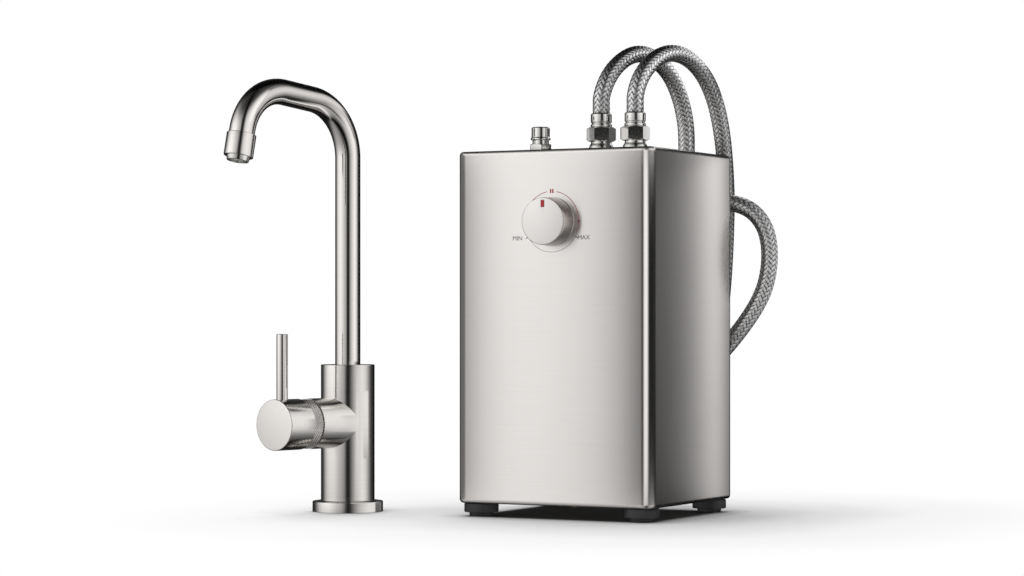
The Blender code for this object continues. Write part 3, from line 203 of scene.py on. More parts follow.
def braided_sleeve_tree():
    """Winds flat strands both ways round a path, over and under each other, on a round core."""
    tree, ask, result = new_tree("braided_sleeve", "GeometryNodeTree", {
        "Geometry": ["Path"], "Int": ["Carriers", "Stops"], "Material": ["Wire", "Core"],
        "Float": ["Radius", "Pitch", "Strand Width", "Strand Thickness", "Lift", "Core Clearance"],
    }, {"Geometry": ["Sleeve"]})
    path = ask["Path"].then("MeshToCurve")
    length = path.then("CurveLength")
    stand = place_node(tree, "CurvePrimitiveLine", {"Start": (0, 0, 0), "End": (0, 0, 1)})
    stand = stand.then("ResampleCurve", {"Count": ask["Stops"]})
    both_ways = ask["Carriers"] * 2.0
    strands = stand.then("DuplicateElements", {"Amount": both_ways}, domain="SPLINE")
    share = place_node(tree, "SplineParameter")["Index"] / (ask["Stops"] - 1.0)
    number = strands["Duplicate Index"]
    second_way = reckon("GREATER_THAN", number, ask["Carriers"] - 0.5)
    hand = 1.0 - second_way * 2.0
    carrier = number - second_way * ask["Carriers"]
    turns = share * length / ask["Pitch"]
    angle = reckon("MULTIPLY_ADD", turns, hand, carrier / ask["Carriers"]) * (2 * math.pi)
    beat = reckon("MULTIPLY_ADD", turns * both_ways, hand, reckon("MULTIPLY_ADD", carrier, 2.0, -0.5))
    wave = reckon("COSINE", beat * (math.pi / 2)) * hand
    half_thick = ask["Strand Thickness"] * 0.5
    middle = ask["Radius"] - half_thick - ask["Lift"]
    on_path = path.then("SampleCurve", {"Factor": share}, mode="FACTOR")
    across = on_path["Normal"]
    side = reckon("CROSS_PRODUCT", on_path["Tangent"], across)
    outward = across * reckon("COSINE", angle) + side * reckon("SINE", angle)
    spot = on_path["Position"] + outward * reckon("MULTIPLY_ADD", wave, ask["Lift"], middle)
    strands = store(strands, "strand_number", number)
    strands = store(strands, "strand_crown", reckon("MULTIPLY_ADD", wave, 0.5, 0.5))
    strands = store(strands, "outward", outward)
    strands = strands.then("SetPosition", {"Position": spot})
    kept = place_node(tree, "InputNamedAttribute", {"Name": "outward"}, data_type="FLOAT_VECTOR")
    strands = strands.then("SetCurveNormal", {"Normal": kept}, mode="FREE")
    ribbon = place_node(tree, "CurvePrimitiveCircle", {"Resolution": 6, "Radius": 0.5})
    where = place_node(tree, "InputPosition")
    ribbon = store(ribbon, "strand_across", split(where)["Y"])
    flat = combine(tree, ask["Strand Thickness"], ask["Strand Width"], 1.0)
    ribbon = ribbon.then("SetPosition", {"Position": where * flat})
    core_radius = middle - ask["Lift"] - (half_thick + ask["Core Clearance"])
    ring = place_node(tree, "CurvePrimitiveCircle", {"Resolution": 28, "Radius": core_radius})
    sleeve, core = (
        line.then("CurveToMesh", {"Profile Curve": profile, "Fill Caps": True})
        for line, profile in ((strands, ribbon), (path, ring))
    )
    core = store(core, "is_core", 1.0, "FACE")
    both = place_node(tree, "JoinGeometry", {"Geometry": [core, sleeve]})
    real = both.then("RealizeInstances")
    wired = real.then("SetMaterial", {"Material": ask["Wire"]})
    inside = place_node(tree, "InputNamedAttribute", {"Name": "is_core"}, data_type="FLOAT")
    plug(result, {0: wired.then("SetMaterial", {
        "Material": ask["Core"], "Selection": reckon("GREATER_THAN", inside, 0.5),
    })})
    return tree


def run_tree(made, tree, values):
    """Run a geometry tree on an object with these values, and leave the object with the plain mesh it makes."""
    step = made.modifiers.new(tree.name, "NODES")
    step.node_group = tree
    sockets = {item.name: item.identifier for item in tree.interface.items_tree if item.in_out == "INPUT"}
    for name, value in values.items():
        step[sockets[name]] = value
    bpy.context.view_layer.update()
    graph = bpy.context.evaluated_depsgraph_get()
    shaped = made.evaluated_get(graph)
    plain = bpy.data.meshes.new_from_object(shaped, preserve_all_data_layers=True, depsgraph=graph)
    made.modifiers.remove(step)
    made.data = plain
    plain.name = made.name


def new_object(name, mesh):
    made = bpy.data.objects.new(name, mesh)
    bpy.context.scene.collection.objects.link(made)
    return made


def finish_material(name, colour, roughness, metallic=0.0):
    """A Principled material, with its tree and its shader."""
    made = bpy.data.materials.new(name)
    made.use_nodes = True
    shader = made.node_tree.nodes["Principled BSDF"]
    shader.inputs["Base Color"].default_value = (*colour, 1.0)
    shader.inputs["Roughness"].default_value = roughness
    shader.inputs["Metallic"].default_value = metallic
    return made, made.node_tree, shader


def noise(where, scale, detail, roughness=0.5):
    return where.then("TexNoise", {"Scale": scale, "Detail": detail, "Roughness": roughness})["Fac"]


def blend(share, first, last):
    """From one colour to another by a share."""
    ends = [colour if isinstance(colour, Socket) else (*colour, 1.0) for colour in (first, last)]
    return place_node(share.tree, "Mix", {
        "Factor": share, "A": ends[0], "B": ends[1],
    }, data_type="RGBA")["Result"]


def rescale(value, low, high, first=0.0, last=1.0):
    """A value that runs from low to high, made to run from first to last and held at both."""
    return value.then("MapRange", {"From Min": low, "From Max": high, "To Min": first, "To Max": last})


def relief(height, strength, depth, **inputs):
    return place_node(height.tree, "Bump", {"Strength": strength, "Distance": depth, "Height": height, **inputs})


def on_object(tree):
    return place_node(tree, "TexCoord")["Object"]


def braid_wire():
    """Fine bright wires side by side in each flat strand, some strands a little darker, with painted shade along
    each strand's edges and in the grooves between its wires. A strand lies flat on the hose where it crosses
    over another, and is painted darker, as shade, where it dips under one."""
    made, tree, shader = finish_material("braid_wire", (0.80, 0.80, 0.79), 0.24, 1.0)
    kept = {
        name: place_node(tree, "Attribute", attribute_name=name)
        for name in ("strand_across", "strand_crown", "strand_number", "outward")
    }
    across = kept["strand_across"]["Fac"]
    wires = reckon("ABSOLUTE", reckon("COSINE", across * (WIRES_PER_STRAND * math.pi)))
    # Painted shade: each strand darkens towards its edges, where it meets its neighbours.
    painted_edge_shade = rescale(reckon("ABSOLUTE", across) * 2.0, 0.60, 1.0, 1.0, 0.10)
    # Painted shade: a strand darkens where it dips under another.
    painted_under_shade = rescale(kept["strand_crown"]["Fac"], 0.15, 0.85, 0.12, 1.0)
    chance = place_node(tree, "TexWhiteNoise", {"W": kept["strand_number"]["Fac"]}, noise_dimensions="1D")["Value"]
    tone = reckon("MULTIPLY_ADD", chance, 0.25, 0.85) * (painted_edge_shade * painted_under_shade)
    # Painted shade in the grooves between the wires of a strand.
    tone = tone * reckon("MULTIPLY_ADD", wires, 0.25, 0.75)
    facing = place_node(tree, "NewGeometry")["Normal"]
    laid = reckon("NORMALIZE", kept["outward"]["Vector"] * 1.6 + facing)
    plug(shader, {
        "Base Color": blend(tone, (0.09, 0.09, 0.09), (1.0, 1.0, 0.995)),
        "Normal": relief(wires, 0.4, 0.0001, Normal=laid),
    })
    return made


def hose_rubber():
    """Dark grey rubber with a fine dull grain."""
    made, tree, shader = finish_material("hose_rubber", (0.05, 0.05, 0.05), 0.7)
    plug(shader, {"Roughness": reckon("MULTIPLY_ADD", noise(on_object(tree), 900.0, 3.0), 0.3, 0.5)})
    return made


wire_finish = braid_wire()
core_finish = hose_rubber()
sleeve_tree = braided_sleeve_tree()
hoses = {}
for side, route in (("left", LEFT_ROUTE), ("right", RIGHT_ROUTE)):
    path, run = smooth_route(route, ROUTE_STEP)
    line = bpy.data.meshes.new(f"{side}_braided_hose")
    line.from_pydata([tuple(p) for p in path], [(i, i + 1) for i in range(len(path) - 1)], [])
    hose = new_object(f"{side}_braided_hose", line)
    crossings = run / BRAID_PITCH * 2 * CARRIERS
    run_tree(hose, sleeve_tree, {
        "Radius": HOSE_DIAMETER / 2 + BRAID_CROWN,
        "Carriers": CARRIERS,
        "Pitch": BRAID_PITCH,
        "Strand Width": STRAND_WIDTH,
        "Strand Thickness": STRAND_THICKNESS,
        "Lift": STRAND_LIFT,
        "Stops": round(crossings * STOPS_PER_CROSSING) + 1,
        "Core Clearance": CORE_CLEARANCE,
        "Wire": wire_finish,
        "Core": core_finish,
    })
    hose.data.shade_smooth()
    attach(hose, "unit")
    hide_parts(f"{side}_hose")
    hoses[side] = (hose, path, run)


# Hose ends: bright turned steel. A ferrule is crimped on each end of each hose, and its collar holds a
# hexagonal union nut that screws on to the port. The far ends lie on the floor, ready for the pipes.

TURNED_SIDES = 96
EASE_STEPS = 4
EASE_LIMIT = 0.45
SHARP_ANGLE = math.radians(32.0)
NUT_TURN = math.radians(28.0)
FERRULE = [
    (4, 0.3, 0.2), (6.8, 0.3, 0.3), (7.85, 1.2, 0.4), (7.85, 7.1, 0.3), (7.1, 7.6, 0.2), (7.1, 8.3, 0.2),
    (8, 8.8, 0.3), (8, 10.6, 0.3), (5.65, 10.6), (5.65, 15.3, 0.3), (4, 15.3, 0.3),
]
UNION_HEX = 0.0190
UNION_LOW = 0.0109
UNION_HIGH = 0.0213
UNION_BORES = [(0.0061, UNION_LOW), (0.0061, 0.0156), (0.00738, 0.0156), (0.00738, UNION_HIGH)]
CHAMFER_SLOPE = math.tan(math.radians(30.0))
CHAMFER_START = 0.965


def eased(outline, unit):
    """Round each corner of a (radius, height, ease) outline to its own small radius. A pair stays sharp."""
    corners = [Vector((point[0] * unit, point[1] * unit)) for point in outline]
    points = []
    for i, (corner, point) in enumerate(zip(corners, outline)):
        if len(point) < 3:
            points.append(corner)
            continue
        back = corners[i - 1] - corner
        on = corners[(i + 1) % len(corners)] - corner
        reach = min(point[2] * unit, EASE_LIMIT * back.length, EASE_LIMIT * on.length)
        start = corner + back.normalized() * reach
        end = corner + on.normalized() * reach
        for step in range(EASE_STEPS + 1):
            share = step / EASE_STEPS
            points.append((1 - share)**2 * start + 2 * share * (1 - share) * corner + share**2 * end)
    return points


def skin_rows(bm, rows, ring=False):
    """Skin a row of equal rings of vertices, where one vertex repeated stands for a closed end."""
    for low, high in zip(rows, rows[1:] + rows[:1] if ring else rows[1:]):
        for i in range(len(low)):
            j = (i + 1) % len(low)
            corners = [low[i], low[j], high[j], high[i]]
            unique = [c for k, c in enumerate(corners) if c not in corners[:k]]
            if len(unique) > 2:
                bm.faces.new(unique)


def round_turns(sides):
    return [2 * math.pi * i / sides for i in range(sides)]


def turn_outline(outline, sides=TURNED_SIDES, unit=MILLIMETRE):
    """Turn an outline about Z. Its ends close at the axis, or on each other where it starts off the axis."""
    bm = bmesh.new()
    rows = []
    for radius, height in eased(outline, unit):
        if radius == 0.0:
            rows.append([bm.verts.new((0.0, 0.0, height))] * sides)
            continue
        rows.append([
            bm.verts.new((radius * math.cos(a), radius * math.sin(a), height)) for a in round_turns(sides)
        ])
    skin_rows(bm, rows, ring=outline[0][0] != 0.0)
    return bm


def hex_nut(across, low, high, bores):
    """A hexagonal nut about Z with its corners chamfered to arcs, bored from low to high in steps."""
    bm = bmesh.new()
    apothem = across / 2
    rim = apothem * CHAMFER_START

    def hexagon(angle):
        return apothem / math.cos(angle % (math.pi / 3) - math.pi / 6)

    def ring(radius_at, height_at):
        return [
            bm.verts.new((radius_at(a) * math.cos(a), radius_at(a) * math.sin(a), height_at(a)))
            for a in round_turns(TURNED_SIDES)
        ]

    rows = [ring(lambda a, r=radius: r, lambda a, z=height: z) for radius, height in bores]
    rows.append(ring(lambda a: rim, lambda a: high))
    rows.append(ring(hexagon, lambda a: high - (hexagon(a) - rim) * CHAMFER_SLOPE))
    rows.append(ring(hexagon, lambda a: low + (hexagon(a) - rim) * CHAMFER_SLOPE))
    rows.append(ring(lambda a: rim, lambda a: low))
    skin_rows(bm, rows, ring=True)
    return bm


def settle_mesh(bm, name):
    """Turn a solid's faces outward and give it a mesh of its own."""
    bmesh.ops.recalc_face_normals(bm, faces=bm.faces)
    mesh = bpy.data.meshes.new(name)
    bm.to_mesh(mesh)
    bm.free()
    return mesh


def keep_piece(name, bm, place, finish, body, node):
    """Make a solid a finished piece: placed in the row frame, smooth but for its edges, riding its body."""
    bm.transform(place)
    bmesh.ops.remove_doubles(bm, verts=bm.verts, dist=1e-7)
    mesh = settle_mesh(bm, name)
    mesh.shade_smooth()
    mesh.set_sharp_from_angle(angle=SHARP_ANGLE)
    mesh.materials.append(finish)
    made = new_object(name, mesh)
    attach(made, body)
    if node:
        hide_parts(node)
    return made


def brushed_grain_group():
    """Streaks that run level round the Z axis of the vector it is given, with soft clouds over them."""
    tree, ask, result = new_tree("brushed_grain", "ShaderNodeTree", {
        "Vector": ["Vector"], "Color": ["Light", "Dark"],
        "Float": ["Along", "Across", "Roughness", "Spread", "Turned"],
    }, {"Color": ["Color"], "Float": ["Roughness", "Height"]})
    spot = split(ask["Vector"])
    out = reckon("POWER", spot["X"] * spot["X"] + spot["Y"] * spot["Y"], 0.5)
    lifted = ask["Vector"] + combine(tree, z=out * ask["Turned"])
    drawn = lifted * combine(tree, ask["Along"], ask["Along"], ask["Across"])
    grain = noise(drawn, 1.0, 4.0, 0.7) * 0.55 + noise(drawn, 4.3, 3.0, 0.6) * 0.45
    spread = (grain - 0.5) + (noise(ask["Vector"], 16.0, 2.0) - 0.5) * 0.5
    plug(result, {
        "Color": blend(rescale(grain, 0.32, 0.68), ask["Dark"], ask["Light"]),
        "Roughness": reckon("MULTIPLY_ADD", spread, ask["Spread"], ask["Roughness"]),
        "Height": grain,
    })
    return tree


grain_group = brushed_grain_group()
PLAIN_TONES = ((0.74, 0.72, 0.69), (0.60, 0.58, 0.55))
BRIGHT_TONES = ((0.78, 0.77, 0.75), (0.66, 0.65, 0.63))
TURNED_GRAIN = (30.0, 2600.0)


def grained_steel(
    name, roughness, grain, depth, tones=PLAIN_TONES, spread=0.12, place=None, anisotropy=0.0, lay=None,
):
    """Steel with its grain round a piece's own axis: round the Z axis of its place, or by the lay that its
    mesh holds. Where it has a place it is a turned piece, and the grain runs round on flat faces. The grain is
    how often its streaks change in a metre, along them and across them."""
    light, dark = tones
    made, tree, shader = finish_material(name, light, roughness, 1.0)
    if lay:
        lined_up = place_node(tree, "Attribute", attribute_name=lay)["Vector"]
    else:
        stand = place or Matrix.Identity(4)
        lined_up = on_object(tree).then("Mapping", {
            "Location": tuple(stand.to_translation()), "Rotation": tuple(stand.to_euler()),
        }, vector_type="TEXTURE")
    streaks = place_node(tree, "Group", node_tree=grain_group)
    plug(streaks.socket.node, {
        "Vector": lined_up, "Along": grain[0], "Across": grain[1], "Light": (*light, 1.0), "Dark": (*dark, 1.0),
        "Roughness": roughness, "Spread": spread, "Turned": 1.0 if place else 0.0,
    })
    plug(shader, {
        "Base Color": streaks["Color"], "Roughness": streaks["Roughness"],
        "Normal": relief(streaks["Height"], 1.0, depth),
        "Anisotropic": anisotropy, "Anisotropic Rotation": 0.25,
    })
    return made


def fitting_steel(name, place):
    return grained_steel(name, 0.10, TURNED_GRAIN, 2e-6, BRIGHT_TONES, 0.10, place)


def axis_frame(place, turn):
    x_turn, y_turn, z_turn = (Matrix.Rotation(angle, 4, axis) for angle, axis in zip(turn, "XYZ"))
    return Matrix.Translation(place) @ z_turn @ y_turn @ x_turn


for side, (hose, path, run) in hoses.items():
    for end, spot, turn in (
        ("top", path[0], (math.pi, 0.0, NUT_TURN)), ("end", path[-1], (math.pi / 2, 0.0, -math.pi / 2)),
    ):
        place = axis_frame(spot, turn)
        turned_steel = fitting_steel(f"{side}_{end}_turned_steel", place)
        ferrule = keep_piece(
            f"{side}_hose_{end}_crimped_ferrule", turn_outline(FERRULE), place, turned_steel,
            "unit", f"{side}_hose_{end}_ferrule",
        )
        nut = keep_piece(
            f"{side}_hose_{end}_union_nut", hex_nut(UNION_HEX, UNION_LOW, UNION_HIGH, UNION_BORES), place,
            turned_steel, "unit", f"{side}_hose_{end}_nut",
        )


# Casing: one folded shell of stainless sheet with soft corners, brushed level all round, open below inside
# its lip and behind the back panel, and holed for the ports, the vent and the thermostat's neck.

CASING_SIZE = (0.160, 0.146, 0.260)
CASING_LOW = 0.010
CASING_HIGH = 0.270
CASING_CORNER = 0.008
CASING_FILLET = 0.0030
SHEET = 0.0012
CASING_LIP = 0.022
FLAT_MARGIN = 0.0004
WINDOW_SPAN = (0.118, 0.216)
WINDOW_CORNER = 0.006
WINDOW_MIDDLE = 0.140
CUT_REACH = 0.004
PORT_HOLE_RADIUS = 0.0071
VENT_HOLE_RADIUS = 0.0058
NECK_HOLE_RADIUS = 0.0053
PORT_ROW = -0.010
LEFT_PORT_X = 0.009
RIGHT_PORT_X = 0.037
VENT_X = -0.042
DIAL_HEIGHT = 0.217
FRONT_FACE = -0.073
BACK_FACE = 0.073
tank_frame = Matrix.Translation(TANK_MIDDLE)
FACE_FRONT = (math.pi / 2, 0.0, 0.0)
FACE_BACK = (-math.pi / 2, 0.0, 0.0)


def on_tank(x, y, z, turn=(0.0, 0.0, 0.0)):
    return tank_frame @ axis_frame((x, y, z), turn)


def soft_rectangle(width, depth, corner, steps=9, margin=FLAT_MARGIN):
    """Outline of a rectangle with round corners, and with a point on each flat just beside each corner."""
    points = []
    for sign_x, sign_y, start in ((1, -1, -90), (1, 1, 0), (-1, 1, 90), (-1, -1, 180)):
        middle = Vector((sign_x * (width / 2 - corner), sign_y * (depth / 2 - corner)))
        arc = [math.radians(start + 90 * step / steps) for step in range(steps + 1)]
        row = [middle + corner * Vector((math.cos(a), math.sin(a))) for a in arc]
        along_in = Vector((-math.sin(arc[0]), math.cos(arc[0])))
        along_out = Vector((-math.sin(arc[-1]), math.cos(arc[-1])))
        points += [row[0] - along_in * margin, *row, row[-1] + along_out * margin]
    return points


def loft_rings(rings, ring=False):
    """Skin a row of equal rings of points, and close its two ends with flat faces unless it is a ring."""
    bm = bmesh.new()
    rows = [[bm.verts.new(point) for point in row] for row in rings]
    skin_rows(bm, rows, ring)
    if not ring:
        bm.faces.new(rows[0])
        bm.faces.new(rows[-1])
    return bm


def stacked_outlines(width, depth, corner, steps):
    """A slab with soft corners, whose outline draws in by each step's inset at its height."""
    return loft_rings([
        [(*p, height) for p in soft_rectangle(width - 2 * inset, depth - 2 * inset, corner)]
        for inset, height in steps
    ])


def casing_rings(wall, steps=7):
    """Rings of one skin of the shell, from the lip under the casing, up its sides and in over its top."""
    corner = CASING_CORNER - wall
    fillet = CASING_FILLET - wall
    swings = [math.pi / 2 * step / steps for step in range(steps + 1)]
    curl = [(fillet * (1 - math.sin(s)), fillet * (1 - math.cos(s))) for s in swings]
    curl = [(fillet + FLAT_MARGIN, 0.0), *curl, (0.0, fillet + FLAT_MARGIN)]
    low, high = CASING_LOW + wall, CASING_HIGH - wall
    turns = [(CASING_LIP - wall, low)]
    turns += [(inset, low + rise) for inset, rise in curl]
    turns += [(inset, high - rise) for inset, rise in reversed(curl)]
    rings = []
    for inset, height in turns:
        outline = soft_rectangle(
            CASING_SIZE[0] - 2 * (wall + inset), CASING_SIZE[1] - 2 * (wall + inset),
            corner * (1 - min(inset, fillet) / (2 * fillet)),
        )
        rings.append([(*p, height) for p in outline])
    return rings


def cutter(name, bm, place):
    """A hidden solid for a cut."""
    bm.transform(place)
    made = new_object(name, settle_mesh(bm, name))
    made.hide_render = True
    return made


def cut_mesh(bm, place, cutters, how="DIFFERENCE"):
    """Cut a solid with others, or add them to it, and give back its bmesh in the row frame."""
    bm.transform(place)
    blank = new_object("blank", settle_mesh(bm, "blank"))
    for tool in cutters:
        step = blank.modifiers.new(tool.name, "BOOLEAN")
        step.operation = how
        step.solver = "EXACT"
        step.object = tool
    bpy.context.view_layer.update()
    graph = bpy.context.evaluated_depsgraph_get()
    shaped = bpy.data.meshes.new_from_object(blank.evaluated_get(graph), depsgraph=graph)
    bm = bmesh.new()
    bm.from_mesh(shaped)
    for gone in [blank, *cutters]:
        bpy.data.objects.remove(gone, do_unlink=True)
    return bm


def cut_piece(name, bm, place, cutters, finish, body, node, how="DIFFERENCE"):
    """A finished piece that is cut by others, or joined with them, in the row frame."""
    return keep_piece(name, cut_mesh(bm, place, cutters, how), Matrix.Identity(4), finish, body, node)


def plain_rod(radius, low, high, sides=TURNED_SIDES):
    return turn_outline([(0.0, low), (radius, low), (radius, high), (0.0, high)], sides, unit=1.0)


casing_steel = grained_steel(
    "casing_brushed_steel", 0.26, (12.0, 2300.0), 1.3e-6, ((0.860, 0.827, 0.803), (0.800, 0.768, 0.744)), 0.05,
    anisotropy=0.8,
)
casing_cutters = [
    cutter(
        "service_window",
        stacked_outlines(*WINDOW_SPAN, WINDOW_CORNER, ((0.0, -CUT_REACH), (0.0, CUT_REACH))),
        on_tank(0.0, BACK_FACE, WINDOW_MIDDLE, FACE_BACK),
    ),
    *(
        cutter(name, plain_rod(radius, -CUT_REACH, CUT_REACH), place) for name, radius, place in (
            ("left_hole", PORT_HOLE_RADIUS, on_tank(LEFT_PORT_X, PORT_ROW, CASING_HIGH)),
            ("right_hole", PORT_HOLE_RADIUS, on_tank(RIGHT_PORT_X, PORT_ROW, CASING_HIGH)),
            ("vent_hole", VENT_HOLE_RADIUS, on_tank(VENT_X, PORT_ROW, CASING_HIGH)),
            ("neck_hole", NECK_HOLE_RADIUS, on_tank(0.0, FRONT_FACE, DIAL_HEIGHT, FACE_FRONT)),
        )
    ),
]
cut_piece(
    "brushed_casing", loft_rings(casing_rings(SHEET)[::-1] + casing_rings(0.0)), tank_frame, casing_cutters,
    casing_steel, "unit", "casing_shell",
)


# Feet: four stepped feet of black rubber, a little dusty, pushed up through the casing's lip at its corners.

FOOT_OUTLINE = [
    (0, 0), (8.2, 0, 0.6), (9, 1.2, 0.6), (9, 3, 0.3), (12.75, 3, 0.7), (12.75, 9.7, 0.9), (3.2, 9.7),
    (3.2, 13), (3.8, 13.3, 0.3), (2.8, 15.5, 0.4), (0, 15.5),
]
FOOT_COLUMN = 0.066
FOOT_ROW = 0.059
FOOT_SPOTS = {
    f"{depth_name}_{side}": (x * FOOT_COLUMN, y * FOOT_ROW)
    for depth_name, y in (("front", -1), ("back", 1)) for side, x in (("left", -1), ("right", 1))
}


def mottled(name, colours, blotches, gloss, bumps=None, metallic=0.0):
    """A finish that goes from one colour to another in soft blotches of a scale and detail, glossy or dull with
    them by a span and a least roughness. Its bumps, where it has any, are of a scale, detail, strength, depth."""
    made, tree, shader = finish_material(name, colours[0], gloss[1], metallic)
    share = noise(on_object(tree), *blotches)
    plug(shader, {"Base Color": blend(share, *colours), "Roughness": reckon("MULTIPLY_ADD", share, *gloss)})
    if bumps:
        plug(shader, {"Normal": relief(noise(on_object(tree), *bumps[:2]), *bumps[2:])})
    return made


black_rubber = mottled(
    "foot_rubber", ((0.022, 0.022, 0.022), (0.055, 0.055, 0.055)), (60.0, 3.0), (0.25, 0.42),
    (1400.0, 2.0, 0.5, 0.00004),
)
for corner_name, spot in FOOT_SPOTS.items():
    keep_piece(
        f"rubber_foot_{corner_name}", turn_outline(FOOT_OUTLINE), on_tank(*spot, 0.0), black_rubber,
        "unit", f"foot_{corner_name}",
    )


# Thermostat dial: a scale printed on the casing, red over the hot half and grey below, with its end marks.

DIAL_RADIUS = 0.0221
MARK_HEIGHT = -0.0116
WORD_HEIGHT = -0.0119
WORD_SIZE = 0.0046
PRINT_LOW = 0.00002
PRINT_HIGH = 0.00008
dial_frame = on_tank(0.0, FRONT_FACE, DIAL_HEIGHT, FACE_FRONT)


def ink(name, colour, worn):
    """Printed ink, slightly uneven where the screen left it thin."""
    return mottled(name, (colour, worn), (700.0, 2.0), (0.2, 0.35))


def printed_arc(start, end, width, steps=48):
    """A thin arc on the dial, its angles in degrees clockwise from the top."""
    rows = []
    for step in range(steps + 1):
        angle = math.radians(90 - start - (end - start) * step / steps)
        away = Vector((math.cos(angle), math.sin(angle)))
        inner, outer = away * (DIAL_RADIUS - width / 2), away * (DIAL_RADIUS + width / 2)
        rows.append([(*inner, PRINT_LOW), (*outer, PRINT_LOW), (*outer, PRINT_HIGH), (*inner, PRINT_HIGH)])
    return loft_rings(rows)


def block(x, y, z, width, height, thickness, turn=0.0):
    """A rectangular block about a place, turned about Z by some degrees."""
    bm = bmesh.new()
    bmesh.ops.create_cube(bm, size=1.0, matrix=Matrix.Translation((x, y, z)) @ (
        Matrix.Rotation(math.radians(turn), 4, "Z") @ Matrix.Diagonal((width, height, thickness, 1.0))
    ))
    return bm


def printed_bar(x, y, width, height, turn=0.0):
    return block(x, y, (PRINT_LOW + PRINT_HIGH) / 2, width, height, PRINT_HIGH - PRINT_LOW, turn)


def printed_word(text, x):
    """A word in plain capitals, as a thin mesh."""
    data = bpy.data.curves.new(text, "FONT")
    data.body = text
    data.size = WORD_SIZE
    data.align_x = "CENTER"
    data.align_y = "CENTER"
    data.extrude = (PRINT_HIGH - PRINT_LOW) / 2
    made = new_object(text, data)
    graph = bpy.context.evaluated_depsgraph_get()
    bm = bmesh.new()
    bm.from_mesh(bpy.data.meshes.new_from_object(made.evaluated_get(graph), depsgraph=graph))
    bm.transform(Matrix.Translation((x, WORD_HEIGHT, (PRINT_LOW + PRINT_HIGH) / 2)))
    bpy.data.objects.remove(made, do_unlink=True)
    return bm


def print_together(solids):
    """Several thin solids as one bmesh."""
    whole = bmesh.new()
    for bm in solids:
        part = bpy.data.meshes.new("print")
        bm.to_mesh(part)
        bm.free()
        whole.from_mesh(part)
    return whole


red_print = [
    printed_arc(10, 90, 0.00046), printed_arc(90, 112, 0.00028), printed_arc(-90, -10, 0.00046),
    printed_bar(0.0205, 0.0, 0.0052, 0.00032),
    *(printed_bar(x, DIAL_RADIUS + 0.0002, 0.0011, 0.0030) for x in (-0.0009, 0.0009)),
]
grey_print = [
    printed_arc(112, 238, 0.00026), printed_arc(252, 270, 0.00036),
    *(printed_bar(x, 0.0, 0.0012, 0.0012, 45) for x in (-DIAL_RADIUS, DIAL_RADIUS)),
    *(printed_bar(x, MARK_HEIGHT, 0.0018, 0.0006, turn) for x, turn in ((-0.0205, 30), (0.0205, -30))),
    printed_word("MIN", -0.0282), printed_word("MAX", 0.0260),
]
red_ink = ink("red_ink", (0.38, 0.03, 0.035), (0.50, 0.10, 0.09))
grey_ink = ink("grey_ink", (0.06, 0.055, 0.055), (0.16, 0.15, 0.15))
keep_piece("dial_print_red", print_together(red_print), dial_frame, red_ink, "unit", None)
keep_piece("dial_print_grey", print_together(grey_print), dial_frame, grey_ink, "unit", None)


# Control knob: turned from steel bar with a brushed face, pressed on the thermostat's spindle. A red pointer
# is let into its face.

KNOB_OUTLINE = [
    (0, 14.6), (17.1, 14.6, 0.6), (17.3, 12), (17.8, 1.2, 0.2), (17, 0.6, 0.2), (15.5, 0.6, 0.2), (15.5, 11),
    (6, 11), (6, 4.6), (3.4, 4.6), (3.4, 10), (0, 10),
]
POINTER_MIDDLE = 0.0127
FINE_SIDES = 128
KNOB_TONES = ((0.885, 0.855, 0.83), (0.80, 0.772, 0.748))
knob_steel = grained_steel("knob_brushed_steel", 0.33, (12.0, 1900.0), 2e-6, KNOB_TONES, 0.08, dial_frame)
pocket = cutter("pocket", block(0.0, POINTER_MIDDLE, 0.0146, 0.0030, 0.0054, 0.0014), dial_frame)
cut_piece(
    "turned_knob", turn_outline(KNOB_OUTLINE, FINE_SIDES), dial_frame, [pocket], knob_steel,
    "knob", "control_knob",
)
pointer = block(0.0, POINTER_MIDDLE, 0.01455, 0.0026, 0.0050, 0.0007)
bmesh.ops.bevel(pointer, geom=pointer.edges[:], offset=0.0002, segments=3, affect="EDGES")
pointer_red = ink("pointer_red", (0.36, 0.012, 0.022), (0.46, 0.03, 0.04))
keep_piece("red_pointer", pointer, dial_frame, pointer_red, "knob", "knob_pointer")


# Hose ports and vent: bright turned fittings screwed through the casing's top. Each port flares out to its
# base; the vent has a hexagon to hold it by, and a screw cap.

PORT_OUTLINE = [
    (4, -8), (6.8, -8), (6.8, 0.3), (9.4, 0.3, 0.2), (9.4, 3, 0.5), (8.8, 5.2, 0.8), (7.7, 7, 0.5),
    (7.7, 8.2, 0.1), (7, 8.2), (7, 13.7, 0.3), (4, 14, 0.3),
]
VENT_OUTLINE = [
    (4, -8), (5.5, -8), (5.5, 0.6), (6.2, 0.6), (6.2, 10.8, 0.2), (4.8, 10.8), (4.8, 17.5, 0.3),
    (4, 17.5, 0.3),
]
CAP_OUTLINE = [
    (0, 20.8), (6.2, 20.8, 0.4), (6.9, 20, 0.3), (6.9, 13.2, 0.3), (7.5, 12.3, 0.3), (7.5, 11.1, 0.2),
    (5.2, 11.1), (5.2, 18.5), (0, 18.5),
]
VENT_HEX = 0.0155
VENT_HEX_LOW = 0.0003
VENT_HEX_HIGH = 0.0079
for side, x in (("left", LEFT_PORT_X), ("right", RIGHT_PORT_X)):
    place = on_tank(x, PORT_ROW, CASING_HIGH)
    keep_piece(
        f"{side}_hose_port", turn_outline(PORT_OUTLINE), place,
        fitting_steel(f"{side}_fitting_steel", place), "unit", f"{side}_port",
    )
place = on_tank(VENT_X, PORT_ROW, CASING_HIGH)
vent_steel = fitting_steel("vent_fitting_steel", place)
